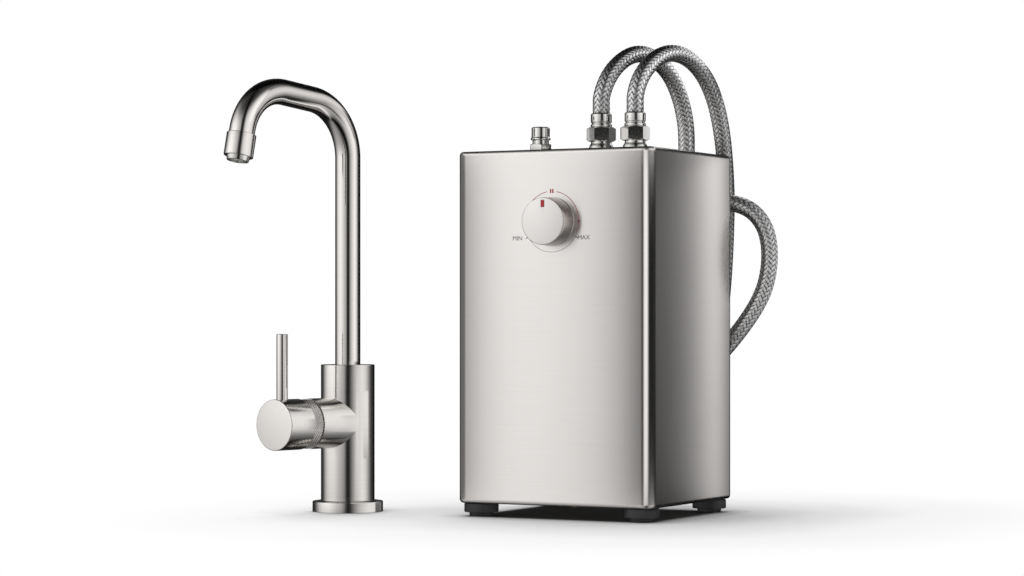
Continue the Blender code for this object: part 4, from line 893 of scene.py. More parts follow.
vent_hexagon = hex_nut(VENT_HEX, VENT_HEX_LOW, VENT_HEX_HIGH, [(0.0050, VENT_HEX_LOW), (0.0050, VENT_HEX_HIGH)])
cut_piece(
    "vent_stem", turn_outline(VENT_OUTLINE), place, [cutter("vent_hexagon", vent_hexagon, place)],
    vent_steel, "unit", "vent_fitting", "UNION",
)
keep_piece("vent_screw_cap", turn_outline(CAP_OUTLINE), place, vent_steel, "unit", "vent_cap")


# Base plate, back panel, its screws, the lead gland and the drain plug: what closes the casing below and
# behind. The plate is flat steel, the panel is pressed with a raised field, and its pan-head screws hold it.

PLATE_SPAN = (0.1476, 0.1336)
PLATE_CORNER = 0.005
PANEL_SPAN = (0.138, 0.236)
PANEL_FACE = BACK_FACE + 0.0003
PANEL_CORNER = 0.008
FIELD_INSET = 0.016
FIELD_TOP_INSET = 0.018
FIELD_RISE = 0.0015
SCREW_HEIGHTS = (0.029, 0.103, 0.177, 0.251)
SCREW_COLUMN = 0.061
SCREW_GRAIN = (60.0, 900.0)
BRASS_TONES = ((0.80, 0.62, 0.30), (0.66, 0.47, 0.20))
PLATE_STEPS = ((0.0002, 0.0115), (0.0, 0.0117), (0.0, 0.0128), (0.0002, 0.0130))
PLUG_HEX = 0.0130
PLUG_LOW = 0.0072
PLUG_HIGH = 0.0112
GLAND_SPOT = (-0.046, 0.064)
DRAIN_SPOT = (0.0, -0.030)
GLAND_OUTLINE = [
    (0, -8), (7, -8, 0.4), (7, 3.3), (11, 3.3, 0.4), (11, 6.3, 0.8), (8.5, 6.3, 0.4), (8.3, 8.5, 0.2),
    (7.8, 9.5, 0.3), (8, 10.5, 0.3), (6.6, 15, 0.6), (4.2, 15, 0.3), (4.2, 12, 0.3), (0, 12),
]


def panel_screws_tree():
    """Pan-head screws with crossed slots, one on each point of the mesh that it is given, facing along Y."""
    tree, ask, result = new_tree("panel_screws", "GeometryNodeTree", {
        "Geometry": ["Geometry"], "Float": ["Head Radius", "Head Height", "Slot Width", "Slot Depth"],
        "Material": ["Steel"],
    }, {"Geometry": ["Geometry"]})
    dome = place_node(tree, "MeshUVSphere", {"Segments": 32, "Rings": 16, "Radius": 1.0})
    flat = combine(tree, ask["Head Radius"], ask["Head Radius"], ask["Head Height"])
    head = dome.then("Transform", {"Scale": flat})
    up = combine(tree, z=ask["Head Height"])
    for along, across in (("Slot Width", "Head Radius"), ("Head Radius", "Slot Width")):
        span = combine(tree, ask[along], ask[across], ask["Slot Depth"] * 2.0)
        bar = place_node(tree, "MeshCube", {"Size": span})
        lifted = bar.then("Transform", {"Translation": up})
        head = head.then("MeshBoolean", {"Mesh 2": lifted}, operation="DIFFERENCE", solver="EXACT")
    screws = ask["Geometry"].then("InstanceOnPoints", {
        "Instance": head, "Rotation": place_node(tree, "InputVector", vector=FACE_BACK),
    })
    real = screws.then("RealizeInstances")
    plug(result, {0: real.then("SetMaterial", {"Material": ask["Steel"]})})
    return tree


plate = stacked_outlines(*PLATE_SPAN, PLATE_CORNER, PLATE_STEPS)
plate_holes = [
    cutter(name, plain_rod(radius, 0.0100, 0.0150), on_tank(*spot, 0.0)) for name, radius, spot in (
        ("drain_hole", 0.0062, DRAIN_SPOT),
        *(
            (f"{name}_stem_hole", 0.0034, spot)
            for name, spot in sorted(FOOT_SPOTS.items(), key=lambda foot: foot[1])
        ),
    )
]
cut_piece("steel_base_plate", plate, tank_frame, plate_holes, casing_steel, "unit", "base_plate")
panel = stacked_outlines(*PANEL_SPAN, PANEL_CORNER, (
    (FIELD_TOP_INSET + SHEET, FIELD_RISE), (FIELD_TOP_INSET + SHEET - 0.0004, FIELD_RISE - 0.0002),
    (FIELD_INSET + SHEET, 0.0), (0.0002, 0.0), (0.0, 0.0002), (0.0, SHEET - 0.0003), (0.0003, SHEET),
    (FIELD_INSET - 0.0004, SHEET), (FIELD_INSET, SHEET + 0.0001),
    (FIELD_TOP_INSET, SHEET + FIELD_RISE - 0.0001), (FIELD_TOP_INSET + 0.0004, SHEET + FIELD_RISE),
))
gland_frame = on_tank(GLAND_SPOT[0], BACK_FACE, GLAND_SPOT[1], FACE_BACK)
cut_piece(
    "pressed_back_panel", panel, on_tank(0.0, PANEL_FACE, WINDOW_MIDDLE, FACE_BACK),
    [cutter("gland_hole", plain_rod(0.0073, -0.002, 0.006), gland_frame)], casing_steel, "unit", "back_panel",
)
screws = bpy.data.meshes.new("panel_screws")
screws.from_pydata([
    tuple(on_tank(x, PANEL_FACE + SHEET, z).translation)
    for x in (-SCREW_COLUMN, SCREW_COLUMN) for z in SCREW_HEIGHTS
], [], [])
screws = new_object("panel_screws", screws)
run_tree(screws, panel_screws_tree(), {
    "Head Radius": 0.0033, "Head Height": 0.0018, "Slot Width": 0.0008, "Slot Depth": 0.0009,
    "Steel": grained_steel("screw_steel", 0.24, SCREW_GRAIN, 2e-6),
})
screws.data.shade_smooth()
screws.data.set_sharp_from_angle(angle=SHARP_ANGLE)
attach(screws, "unit")
keep_piece("rubber_lead_gland", turn_outline(GLAND_OUTLINE), gland_frame, black_rubber, "unit", "lead_gland")
drain_frame = on_tank(*DRAIN_SPOT, 0.0)
plug_head = hex_nut(PLUG_HEX, PLUG_LOW, PLUG_HIGH, [(0.0020, PLUG_LOW), (0.0020, PLUG_HIGH)])
cut_piece(
    "brass_drain_plug", plain_rod(0.0030, 0.0100, 0.0212, 48), drain_frame,
    [cutter("plug_head", plug_head, drain_frame)],
    grained_steel("plug_brass", 0.28, (30.0, 900.0), 2e-6, BRASS_TONES, 0.12, drain_frame),
    "unit", "drain_plug", "UNION",
)


# Faucet body: a turned steel barrel on a base flange, with a side branch for the valve. It is bored for the
# spout's seat, the cartridge and the fixing shank, and brushed round both its axes.

FAUCET_SPOT = (-0.11156, -0.01499, 0.0)
FAUCET_TURN = math.radians(-13.0)
BODY_RADIUS = 0.0204
BRANCH_HEIGHT = 0.0676
BRANCH_RADIUS = 0.0190
BRANCH_END = 0.0433
GRUB_SCREW_HEIGHT = 0.1000
TURNED_TONES = ((0.785, 0.758, 0.733), (0.69, 0.665, 0.64))
BRANCH_TONES = ((0.80, 0.772, 0.748), (0.71, 0.685, 0.66))
BODY_GRAIN = (14.0, 1900.0)
BODY_OUTLINE = [(0, 1), (13.6, 1, 0.2), (13.6, 8.3), (20.4, 8.3, 0.4), (20.4, 111.6, 0.6), (0, 111.6)]
FLANGE_OUTLINE = [
    (13.9, 0), (18.7, 0), (18.7, 1.8), (22.3, 1.8), (22.3, 0), (26.8, 0, 0.4), (26.8, 8, 0.7), (13.9, 8, 0.2),
]
BASE_SEAL_OUTLINE = [(19, 0), (22, 0, 0.3), (22, 1.5, 0.3), (19, 1.5)]
SEAL_RING_OUTLINE = [(9.9, 83.3, 0.6), (13, 83.3, 0.6), (13, 86.3, 0.6), (9.9, 86.3, 0.6)]
BUSH_OUTLINE = [(9.9, 86.6), (13, 86.6), (13, 111.3, 0.4), (9.9, 111.3, 0.4)]
GRUB_SCREW_OUTLINE = [(0, 13.3), (2, 13.3, 0.2), (2, 19.9, 0.3), (0, 19.9)]
INLET_LOW = Vector((0.0, -0.0050, 0.0240))
INLET_HIGH = Vector((0.0, -0.0188, 0.0560))
faucet_frame = axis_frame(FAUCET_SPOT, (0.0, 0.0, FAUCET_TURN))
branch_frame = faucet_frame @ axis_frame((0.0, 0.0, BRANCH_HEIGHT), FACE_FRONT)
rear_frame = faucet_frame @ axis_frame((0.0, 0.0, GRUB_SCREW_HEIGHT), FACE_BACK)
inlet_way = INLET_HIGH - INLET_LOW
inlet_turn = inlet_way.to_track_quat("Z", "Y").to_matrix().to_4x4()
inlet_frame = faucet_frame @ Matrix.Translation(INLET_LOW) @ inlet_turn


def moulded(name, colour, roughness):
    """Moulded plastic: a slightly uneven colour and a fine matt skin."""
    colours = [tuple(min(1.0, level * share) for level in colour) for share in (0.94, 1.06)]
    return mottled(name, colours, (90.0, 3.0), (0.15, roughness - 0.07), (1800.0, 2.0, 0.4, 0.00003))


barrel_steel = grained_steel(
    "barrel_brushed_steel", 0.16, BODY_GRAIN, 2.2e-6, TURNED_TONES, 0.08, faucet_frame, anisotropy=0.6,
)
branch_steel = grained_steel(
    "branch_brushed_steel", 0.17, BODY_GRAIN, 2e-6, BRANCH_TONES, 0.08, branch_frame,
)
barrel = cut_mesh(
    turn_outline(BODY_OUTLINE, FINE_SIDES), faucet_frame,
    [cutter("branch", plain_rod(BRANCH_RADIUS, 0.0, BRANCH_END, FINE_SIDES), branch_frame)], "UNION",
)
barrel_bores = [
    cutter(name, plain_rod(radius, low, high, sides), place) for name, radius, low, high, sides, place in (
        ("seat_bore", 0.0132, 0.0830, 0.1140, TURNED_SIDES, faucet_frame),
        ("chamber", 0.0105, 0.0600, 0.0850, TURNED_SIDES, faucet_frame),
        ("cartridge_bore", 0.0138, 0.0120, 0.0450, TURNED_SIDES, branch_frame),
        ("waterway", 0.0030, 0.0, 0.0140, 32, branch_frame),
        ("shank_bore", 0.0100, -0.0020, 0.0260, TURNED_SIDES, faucet_frame),
        ("inlet", 0.0030, 0.0, inlet_way.length, 32, inlet_frame),
        ("screw_hole", 0.0022, 0.0, 0.0220, 32, rear_frame),
    )
]
faucet_barrel = cut_piece(
    "faucet_barrel", barrel, Matrix.Identity(4), barrel_bores, barrel_steel, "unit", "faucet_body",
)
faucet_barrel.data.materials.append(branch_steel)
to_faucet = faucet_frame.inverted()
for face in faucet_barrel.data.polygons:
    here = to_faucet @ face.center
    if here.y < 0 and math.hypot(here.x, here.y) > BODY_RADIUS + 0.0001:
        face.material_index = 1
for name, outline, sides, finish, node in (
    ("turned_base_flange", FLANGE_OUTLINE, FINE_SIDES, grained_steel(
        "flange_brushed_steel", 0.15, BODY_GRAIN, 2.2e-6, TURNED_TONES, 0.08, faucet_frame,
    ), "base_flange"),
    ("rubber_base_seal", BASE_SEAL_OUTLINE, TURNED_SIDES, black_rubber, "base_seal"),
    ("spout_sealing_ring", SEAL_RING_OUTLINE, TURNED_SIDES, black_rubber, "spout_seal_ring"),
    (
        "plastic_swivel_bush", BUSH_OUTLINE, TURNED_SIDES, moulded("bush_plastic", (0.10, 0.10, 0.10), 0.45),
        "swivel_bush",
    ),
):
    keep_piece(name, turn_outline(outline, sides), faucet_frame, finish, "unit", node)
hexagon_socket = bmesh.new()
bmesh.ops.create_cone(
    hexagon_socket, cap_ends=True, segments=6, radius1=0.0011, radius2=0.0011, depth=0.0030,
    matrix=Matrix.Translation((0, 0, 0.0195)),
)
cut_piece(
    "socket_grub_screw", turn_outline(GRUB_SCREW_OUTLINE, 48), rear_frame,
    [cutter("hexagon_socket", hexagon_socket, rear_frame)],
    grained_steel("grub_screw_steel", 0.25, SCREW_GRAIN, 2e-6, place=rear_frame), "unit", "spout_grub_screw",
)


# Knurled bonnet ring: bright turned steel that screws the valve's cartridge into the branch. Its rim is
# knurled in fine diamonds.

BONNET_OUTLINE = [
    (4.3, 36.3), (13.6, 36.3), (13.6, 43.6), (18, 43.6, 0.3), (18.22, 44.2, 0.1), (18.22, 52.1, 0.1),
    (18, 52.7, 0.3), (4.3, 52.7),
]
KNURL_SHARP_ANGLE = math.radians(24.0)
RIM_RADIUS = 0.01818
KNURL_LOW = 0.0443
KNURL_HIGH = 0.0520
DIAMONDS_ROUND = 62
DIAMOND_ROWS = 8
POINT_HEIGHT = 0.00050


def knurl_tree():
    """Diamond points in staggered rows round the rim of the turned ring that it is given."""
    tree, ask, result = new_tree("diamond_knurl", "GeometryNodeTree", {
        "Geometry": ["Geometry"], "Float": ["Rim Radius", "Low", "High", "Point Height"],
        "Int": ["Diamonds", "Rows"], "Material": ["Steel"],
    }, {"Geometry": ["Geometry"]})
    points = place_node(tree, "Points", {"Count": ask["Diamonds"] * ask["Rows"]})
    index = place_node(tree, "InputIndex")
    row = reckon("FLOOR", (index + 0.5) / ask["Diamonds"])
    round_step = index - row * ask["Diamonds"]
    angle = (round_step + reckon("MODULO", row, 2.0) * 0.5) / ask["Diamonds"] * (2 * math.pi)
    row_step = (ask["High"] - ask["Low"]) / ask["Rows"]
    away = combine(tree, reckon("COSINE", angle), reckon("SINE", angle))
    rise = combine(tree, z=(row + 0.5) * row_step + ask["Low"])
    spots = points.then("SetPosition", {"Position": away * ask["Rim Radius"] + rise})
    half_round = ask["Rim Radius"] * math.pi / ask["Diamonds"]
    cone = place_node(tree, "MeshCone", {
        "Vertices": 4, "Radius Top": 0.0, "Radius Bottom": 1.0, "Depth": 1.0,
    }, fill_type="NGON")
    size = combine(tree, row_step, half_round, ask["Point Height"])
    turned_cone = cone.then("Transform", {"Scale": size})
    upright = place_node(tree, "AxesToRotation", {
        "Primary Axis": away, "Secondary Axis": (0.0, 0.0, 1.0),
    }, primary_axis="Z", secondary_axis="X")
    knurls = spots.then("InstanceOnPoints", {"Instance": turned_cone, "Rotation": upright})
    real = knurls.then("RealizeInstances")
    whole = place_node(tree, "JoinGeometry", {"Geometry": [real, ask["Geometry"]]})
    plug(result, {0: whole.then("SetMaterial", {"Material": ask["Steel"]})})
    return tree


bonnet = new_object("knurled_bonnet_ring", settle_mesh(turn_outline(BONNET_OUTLINE), "knurled_bonnet_ring"))
run_tree(bonnet, knurl_tree(), {
    "Rim Radius": RIM_RADIUS, "Low": KNURL_LOW, "High": KNURL_HIGH, "Diamonds": DIAMONDS_ROUND,
    "Rows": DIAMOND_ROWS, "Point Height": POINT_HEIGHT,
    "Steel": grained_steel(
        "bonnet_steel", 0.26, (30.0, 2400.0), 2e-6, ((0.70, 0.675, 0.65), (0.56, 0.54, 0.52)), 0.10, branch_frame,
    ),
})
bonnet.data.transform(branch_frame)
bonnet.data.shade_smooth()
bonnet.data.set_sharp_from_angle(angle=KNURL_SHARP_ANGLE)
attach(bonnet, "unit")
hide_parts("knurled_ring")


# Handle: a turned cap on the valve's stem, brushed round its rim and over its face, with a round lever pin
# screwed into its rim.

CAP_BODY_OUTLINE = [
    (0, 77.7), (19, 77.7, 0.7), (19, 53, 0.5), (15, 53, 0.3), (15, 60), (8, 60), (8, 55, 0.2), (4.3, 55),
    (4.3, 63), (0, 63),
]
LEVER_OUTLINE = [(0, 8.3), (4.25, 8.3, 0.2), (4.25, 67.4, 0.6), (0, 67.4)]
LEVER_PLACE = 0.0693
LEVER_HOLE_RADIUS = 0.00455
TUBE_GRAIN = (20.0, 1900.0)
lever_frame = branch_frame @ axis_frame((0.0, 0.0, LEVER_PLACE), FACE_BACK)
handle_steel = grained_steel("handle_brushed_steel", 0.20, BODY_GRAIN, 2e-6, BRANCH_TONES, 0.08, branch_frame)
lever_steel = grained_steel("lever_brushed_steel", 0.12, TUBE_GRAIN, 2.2e-6, TURNED_TONES, 0.08, lever_frame)
cut_piece(
    "turned_handle_cap", turn_outline(CAP_BODY_OUTLINE, FINE_SIDES), branch_frame,
    [cutter("lever_hole", plain_rod(LEVER_HOLE_RADIUS, 0.0080, 0.0210), lever_frame)], handle_steel,
    "handle", "handle_cap",
)
keep_piece("round_lever_pin", turn_outline(LEVER_OUTLINE), lever_frame, lever_steel, "handle", "lever_pin")


# Spout: one steel tube bent twice over a former, brushed round its length, with a turned collar at its
# nozzle. It swivels in the barrel's bush.

TUBE_RADIUS = 0.0096
TUBE_BORE = 0.0082
TUBE_SIDES = 72
SPOUT_FOOT = 0.0780
SPOUT_CORNER = 0.3067
SPOUT_RUN = 0.1035
SPOUT_RISE = math.radians(6.5)
SPOUT_DROP = 0.0547
SPOUT_TILT = math.radians(11.5)
SPOUT_BENDS = (0.043, 0.038)
TUBE_DROP = 0.0457
BEND_STEP = math.radians(2.5)
RUN_STEP = 0.006
COLLAR_OUTLINE = [
    (9.1, 0, 0.2), (10.9, 0, 0.5), (10.9, 17, 0.7), (9.9, 17), (9.9, 8.7), (8.2, 8.7), (8.2, 8.2), (9.1, 8.2),
]


def filleted_line(corners, radii, turn_step, run_step):
    """A line through corners that are rounded to arcs, as points with the way that each one heads."""
    points = [(corners[0], (corners[1] - corners[0]).normalized())]
    for before, corner, after, radius in zip(corners, corners[1:], corners[2:], radii):
        way_in = (corner - before).normalized()
        way_out = (after - corner).normalized()
        swing = way_in.angle(way_out)
        start = corner - way_in * radius * math.tan(swing / 2)
        axis = way_in.cross(way_out).normalized()
        hub = start + axis.cross(way_in) * radius
        straight = (start - points[-1][0]).length
        lead = points[-1][0]
        for step in range(1, math.ceil(straight / run_step)):
            points.append((lead + way_in * straight * step / math.ceil(straight / run_step), way_in))
        count = math.ceil(swing / turn_step)
        for step in range(count + 1):
            swung = Matrix.Rotation(swing * step / count, 3, axis)
            points.append((hub + swung @ (start - hub), swung @ way_in))
    lead, way = points[-1]
    count = math.ceil((corners[-1] - lead).length / run_step)
    points += [(lead.lerp(corners[-1], step / count), way) for step in range(1, count + 1)]
    return points


def bent_tube(line, sides):
    """A tube along a flat line. Each point's place round the tube and along it is kept as its lay."""
    run = 0.0
    skins = {TUBE_RADIUS: [], TUBE_BORE: []}
    side = Vector((1.0, 0.0, 0.0))
    for i, (spot, way) in enumerate(line):
        run += (spot - line[i - 1][0]).length if i else 0.0
        up = way.cross(side)
        for reach, skin in skins.items():
            skin.append([
                (spot + (side * x + up * y) * reach, (x * reach, y * reach, run))
                for x, y in ((math.cos(a), math.sin(a)) for a in round_turns(sides))
            ])
    rows = skins[TUBE_RADIUS] + skins[TUBE_BORE][::-1]
    bm = loft_rings([[point for point, lay in row] for row in rows], ring=True)
    layer = bm.verts.layers.float_vector.new("lay")
    for vert, (point, lay) in zip(bm.verts, sum(rows, [])):
        vert[layer] = lay
    return bm


run_end = Vector((0.0, -SPOUT_RUN * math.cos(SPOUT_RISE), SPOUT_CORNER + SPOUT_RUN * math.sin(SPOUT_RISE)))
nozzle_way = Vector((0.0, -math.sin(SPOUT_TILT), -math.cos(SPOUT_TILT)))
spout_line = filleted_line(
    [
        Vector((0.0, 0.0, SPOUT_FOOT)), Vector((0.0, 0.0, SPOUT_CORNER)), run_end, run_end + nozzle_way * TUBE_DROP,
    ],
    SPOUT_BENDS, BEND_STEP, RUN_STEP,
)
spout_steel = grained_steel(
    "spout_brushed_steel", 0.11, TUBE_GRAIN, 1.6e-6, ((0.80, 0.772, 0.748), (0.715, 0.69, 0.665)), 0.07, lay="lay",
)
keep_piece("bent_spout_tube", bent_tube(spout_line, TUBE_SIDES), faucet_frame, spout_steel, "spout", "spout_tube")
nozzle_frame = faucet_frame @ axis_frame(run_end + nozzle_way * SPOUT_DROP, (-SPOUT_TILT, 0.0, 0.0))
collar_steel = grained_steel(
    "collar_brushed_steel", 0.12, TUBE_GRAIN, 2e-6, ((0.80, 0.772, 0.748), (0.70, 0.675, 0.65)), 0.08, nozzle_frame,
)
keep_piece(
    "turned_nozzle_collar", turn_outline(COLLAR_OUTLINE), nozzle_frame, collar_steel,
    "spout", "spout_collar",
)


# Aerator: a bright insert screwed into the collar, tapering below it, with a plastic screen behind its mouth.

AERATOR_OUTLINE = [(0, 7.9), (8.8, 7.9), (8.8, 0, 0.2), (8, -3.4, 0.6), (6.9, -3.4, 0.3), (6.9, 0.6), (0, 0.6)]
SCREEN_OUTLINE = [(0, -0.3), (6.3, -0.3, 0.1), (6.3, 0.3, 0.1), (0, 0.3)]
keep_piece(
    "bright_aerator_insert", turn_outline(AERATOR_OUTLINE), nozzle_frame,
    grained_steel("aerator_steel", 0.14, TURNED_GRAIN, 2e-6, BRIGHT_TONES, 0.10, nozzle_frame),
    "spout", "aerator_insert",
)
keep_piece(
    "plastic_aerator_screen", turn_outline(SCREEN_OUTLINE, 48), nozzle_frame,
    moulded("screen_plastic", (0.62, 0.62, 0.60), 0.5), "spout", "aerator_screen",
)


# Inner vessel: drawn from stainless sheet with a welded seam, on a pierced skirt of the same sheet. Its drain
# tube, thermowell and the thermostat's spindle are bare steel.

def finish_solids(finish, *names):
    """Lay a finish on the pieces that keep the shape of their solid."""
    for name in names:
        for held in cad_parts[name].material_slots:
            held.material = finish


def blotched(name, colours, size, roughness, depth, metallic=1.0):
    """A finish that is uneven in colour, gloss and height by the same soft blotches of a size in metres."""
    return mottled(
        name, colours, (1 / size, 4.0), (0.12, roughness - 0.06), (1 / size, 4.0, 0.5, depth), metallic,
    )


finish_solids(
    blotched("drawn_vessel_steel", ((0.74, 0.73, 0.71), (0.58, 0.57, 0.55)), 0.012, 0.30, 0.0002),
    "inner_vessel", "vessel_stand",
)
finish_solids(
    blotched("drawn_tube_steel", ((0.76, 0.75, 0.73), (0.62, 0.61, 0.59)), 0.004, 0.24, 0.00008),
    "drain_tube", "thermowell", "thermostat_spindle",
)


# Insulation: two half shells of rigid foam, pressed round the vessel. The foam is cream, with fine open cells whose
# hollows carry painted shade.

foam, foam_tree, foam_shader = finish_material("cream_foam", (0.80, 0.74, 0.58), 0.92)
foam_cells = on_object(foam_tree).then("TexVoronoi", {"Scale": 900.0})["Distance"]
plug(foam_shader, {
    # Painted shade: the colour darkens into each cell's hollow.
    "Base Color": blend(foam_cells, (0.66, 0.58, 0.42), (0.84, 0.78, 0.62)),
    "Normal": relief(foam_cells, 0.7, 0.0004),
})
finish_solids(foam, "insulation_front", "insulation_back")


# Pipework and element: drawn copper pipes, a machined brass element head screwed up against a rubber gasket, and
# the element's dull oxidised sheath.

drawn_copper = blotched("drawn_copper", ((0.80, 0.45, 0.30), (0.62, 0.33, 0.21)), 0.006, 0.30, 0.00008)
machined_brass = blotched("machined_brass", ((0.72, 0.55, 0.28), (0.60, 0.44, 0.21)), 0.003, 0.26, 0.00005)
oxidised_sheath = blotched("oxidised_sheath", ((0.20, 0.19, 0.18), (0.10, 0.095, 0.09)), 0.003, 0.50, 0.0001)
gasket_rubber = blotched(
    "gasket_rubber", ((0.045, 0.045, 0.045), (0.025, 0.025, 0.025)), 0.002, 0.80, 0.0001, metallic=0.0,
)
finish_solids(drawn_copper, "hot_outlet_pipe", "cold_dip_pipe", "vent_pipe")
finish_solids(machined_brass, "element_head")
finish_solids(oxidised_sheath, "heating_element")
finish_solids(gasket_rubber, "element_gasket")


# Thermostat and wiring pieces: a dark moulded thermostat with a brass panel nut, its copper bulb and capillary,
# a dark thermal cut-out and a white terminal block.

finish_solids(moulded("thermostat_plastic", (0.035, 0.035, 0.037), 0.5), "thermostat_body", "thermal_cutout")
finish_solids(moulded("terminal_plastic", (0.70, 0.69, 0.65), 0.45), "terminal_block")
finish_solids(machined_brass, "thermostat_nut")
finish_solids(drawn_copper, "thermostat_bulb", "capillary_tube")


# Valve: a brass cartridge in the faucet's branch, and the steel stem that the handle turns.

finish_solids(machined_brass, "valve_cartridge")
finish_solids(
    blotched("ground_stem_steel", ((0.72, 0.71, 0.69), (0.60, 0.59, 0.57)), 0.002, 0.22, 0.00003), "valve_stem",
)


# Studio: a pale floor that fades to white, with a painted shadow under the object, and a white room. What the
# steel mirrors of that room is banded, as between soft boxes and dark drapes: light left and right of the camera,
# dark behind it and overhead. Cards beside the object, which only the steel mirrors, shape the bands on the tank,
# the hoses and the faucet.

VIEW_SIDE = (0.8813, 0.4726, 0.0)
VIEW_BACK = (0.4726, -0.8813, 0.0)
ROUND_LIGHT = [
    (-180, 0.05), (-160, 0.02), (-128, 0.02), (-112, 0.50), (-96, 1.00), (-76, 1.22), (-58, 1.20), (-48, 1.02),
    (-39, 0.86), (-30, 0.72), (-20, 0.58), (-11, 0.42), (-4, 0.04), (6, 0.0), (14, 0.0), (22, 0.34), (33, 0.85),
    (43, 0.88), (52, 1.00), (63, 1.16), (75, 1.20), (85, 0.98), (98, 0.60), (110, 0.10), (125, 0.0), (160, 0.0),
    (180, 0.05),
]
HIGH_LIGHT = [
    (-90, 0.28), (-60, 0.30), (-42, 0.38), (-26, 0.42), (-13, 0.65), (0, 0.96), (14, 1.15), (26, 1.02), (36, 0.68),
    (44, 0.28), (54, 0.05), (90, 0.0),
]
MATT_LIGHT = 0.55
WHITE = (1.0, 1.0, 1.0, 1.0)
FLOOR_REACH = 6.0
FOOTPRINTS = [
    ((0.068, 0.0485, 0.0), (0.072, 0.065, 1.0), 1.0),
    ((-0.1116, -0.015, 0.0), (0.018, 0.018, 1.0), 3.0),
]
FLOOR_FADE = [(0.0, 0.0), (0.04, 0.05), (0.09, 0.25), (0.17, 0.65), (0.30, 1.0)]
# Painted shadow: the floor's colour by its distance from the footprints, darkest right under the object.
FLOOR_PAINTED_SHADOW = [(0.0, 0.10), (0.004, 0.45), (0.012, 0.75), (0.03, 0.92)]
CARD_TOP = 0.282
FLAG_PLACES = [(0.250, -0.10), (0.263, -0.055), (0.262, 0.017), (0.225, 0.076)]
RISER_STOPS = [
    (-0.062, 0.0), (-0.052, 0.0), (-0.045, 0.03), (-0.0396, 0.26), (-0.033, 0.62), (-0.0275, 0.76),
    (-0.0235, 0.96), (-0.019, 1.16), (-0.0155, 1.20), (-0.0105, 0.94), (-0.005, 0.58), (0.001, 0.12),
    (0.010, 0.01), (0.055, 0.01),
]
BARREL_STOPS = [
    (-0.062, 0.0), (-0.050, 0.02), (-0.044, 0.16), (-0.0375, 0.45), (-0.0325, 0.70), (-0.028, 0.86),
    (-0.0245, 1.00), (-0.0215, 1.02), (-0.018, 0.85), (-0.0146, 0.60), (-0.010, 0.22), (-0.003, 0.02),
    (0.055, 0.01),
]


def stage_plane(name, corners, finish):
    """A flat card or floor of four corners that isn't part of the object."""
    mesh = bpy.data.meshes.new(name)
    mesh.from_pydata(corners, [], [(0, 1, 2, 3)])
    mesh.materials.append(finish)
    made = new_object(name, mesh)
    return made


def soft_box(name, place, target, power):
    """A square lamp that lights the matt pieces and the floor, and that the steel doesn't mirror."""
    data = bpy.data.lights.new(name, "AREA")
    data.shape = "RECTANGLE"
    data.size = data.size_y = 1.2
    data.energy = power
    made = new_object(name, data)
    made.location = place
    made.rotation_euler = (Vector(target) - Vector(place)).to_track_quat("-Z", "Y").to_euler()
    made.visible_glossy = False


def level_ramp(value, stops):
    """Grey levels along a value, by stops in its own units. A ramp holds no level above 1, so it is scaled."""
    low, high = stops[0][0], stops[-1][0]
    peak = max(1.0, *(level for spot, level in stops))
    shade = rescale(value, low, high).then("ValToRGB")
    ramp = shade.socket.node.color_ramp
    ramp.interpolation = "B_SPLINE" if len(stops) > 8 else "EASE"
    while len(ramp.elements) < len(stops):
        ramp.elements.new(1.0)
    for mark, (spot, level) in zip(ramp.elements, stops):
        mark.position = (spot - low) / (high - low)
        mark.color = (level / peak, level / peak, level / peak, 1.0)
    return shade * peak


def mirror_card(name, start, end, low, top, axis, stops, foot=1.0, steep=None, swung=None, one_sided=True):
    """An upright card that only the steel mirrors, facing left of its way from start to end. It is lit in grey
    levels along an axis, clear as far as a stop's third value says so, and dimmer at its foot. Its grid can
    close it to steep rays, and to rays that run too far toward the back or too little."""
    finish = bpy.data.materials.new(f"{name}_paper")
    finish.use_nodes = True
    tree = finish.node_tree
    tree.nodes.clear()
    where = split(on_object(tree))
    shade = level_ramp(where[axis], [stop[:2] for stop in stops])
    cover = level_ramp(where[axis], [(stop[0], stop[2] if len(stop) > 2 else 1.0) for stop in stops])
    ray = place_node(tree, "NewGeometry")
    if one_sided:
        cover = cover * (1.0 - ray["Backfacing"])
    coming = split(ray["Incoming"])
    for slope, limit in ((reckon("ABSOLUTE", coming["Z"]), steep), (coming["Y"] * -1.0, swung)):
        if limit:
            cover = cover * rescale(slope, *limit, 1.0, 0.0)
    glow = place_node(tree, "Emission", {"Color": shade, "Strength": rescale(where["Z"], 0.0, 0.3, foot)})
    clear = place_node(tree, "BsdfTransparent")
    mixed = place_node(tree, "MixShader", {"Fac": cover, 1: clear, 2: glow})
    place_node(tree, "OutputMaterial", {"Surface": mixed})
    card = stage_plane(name, [(*end, low), (*start, low), (*start, top), (*end, top)], finish)
    for ray_kind in ("camera", "diffuse", "shadow", "transmission", "volume_scatter"):
        setattr(card, f"visible_{ray_kind}", False)


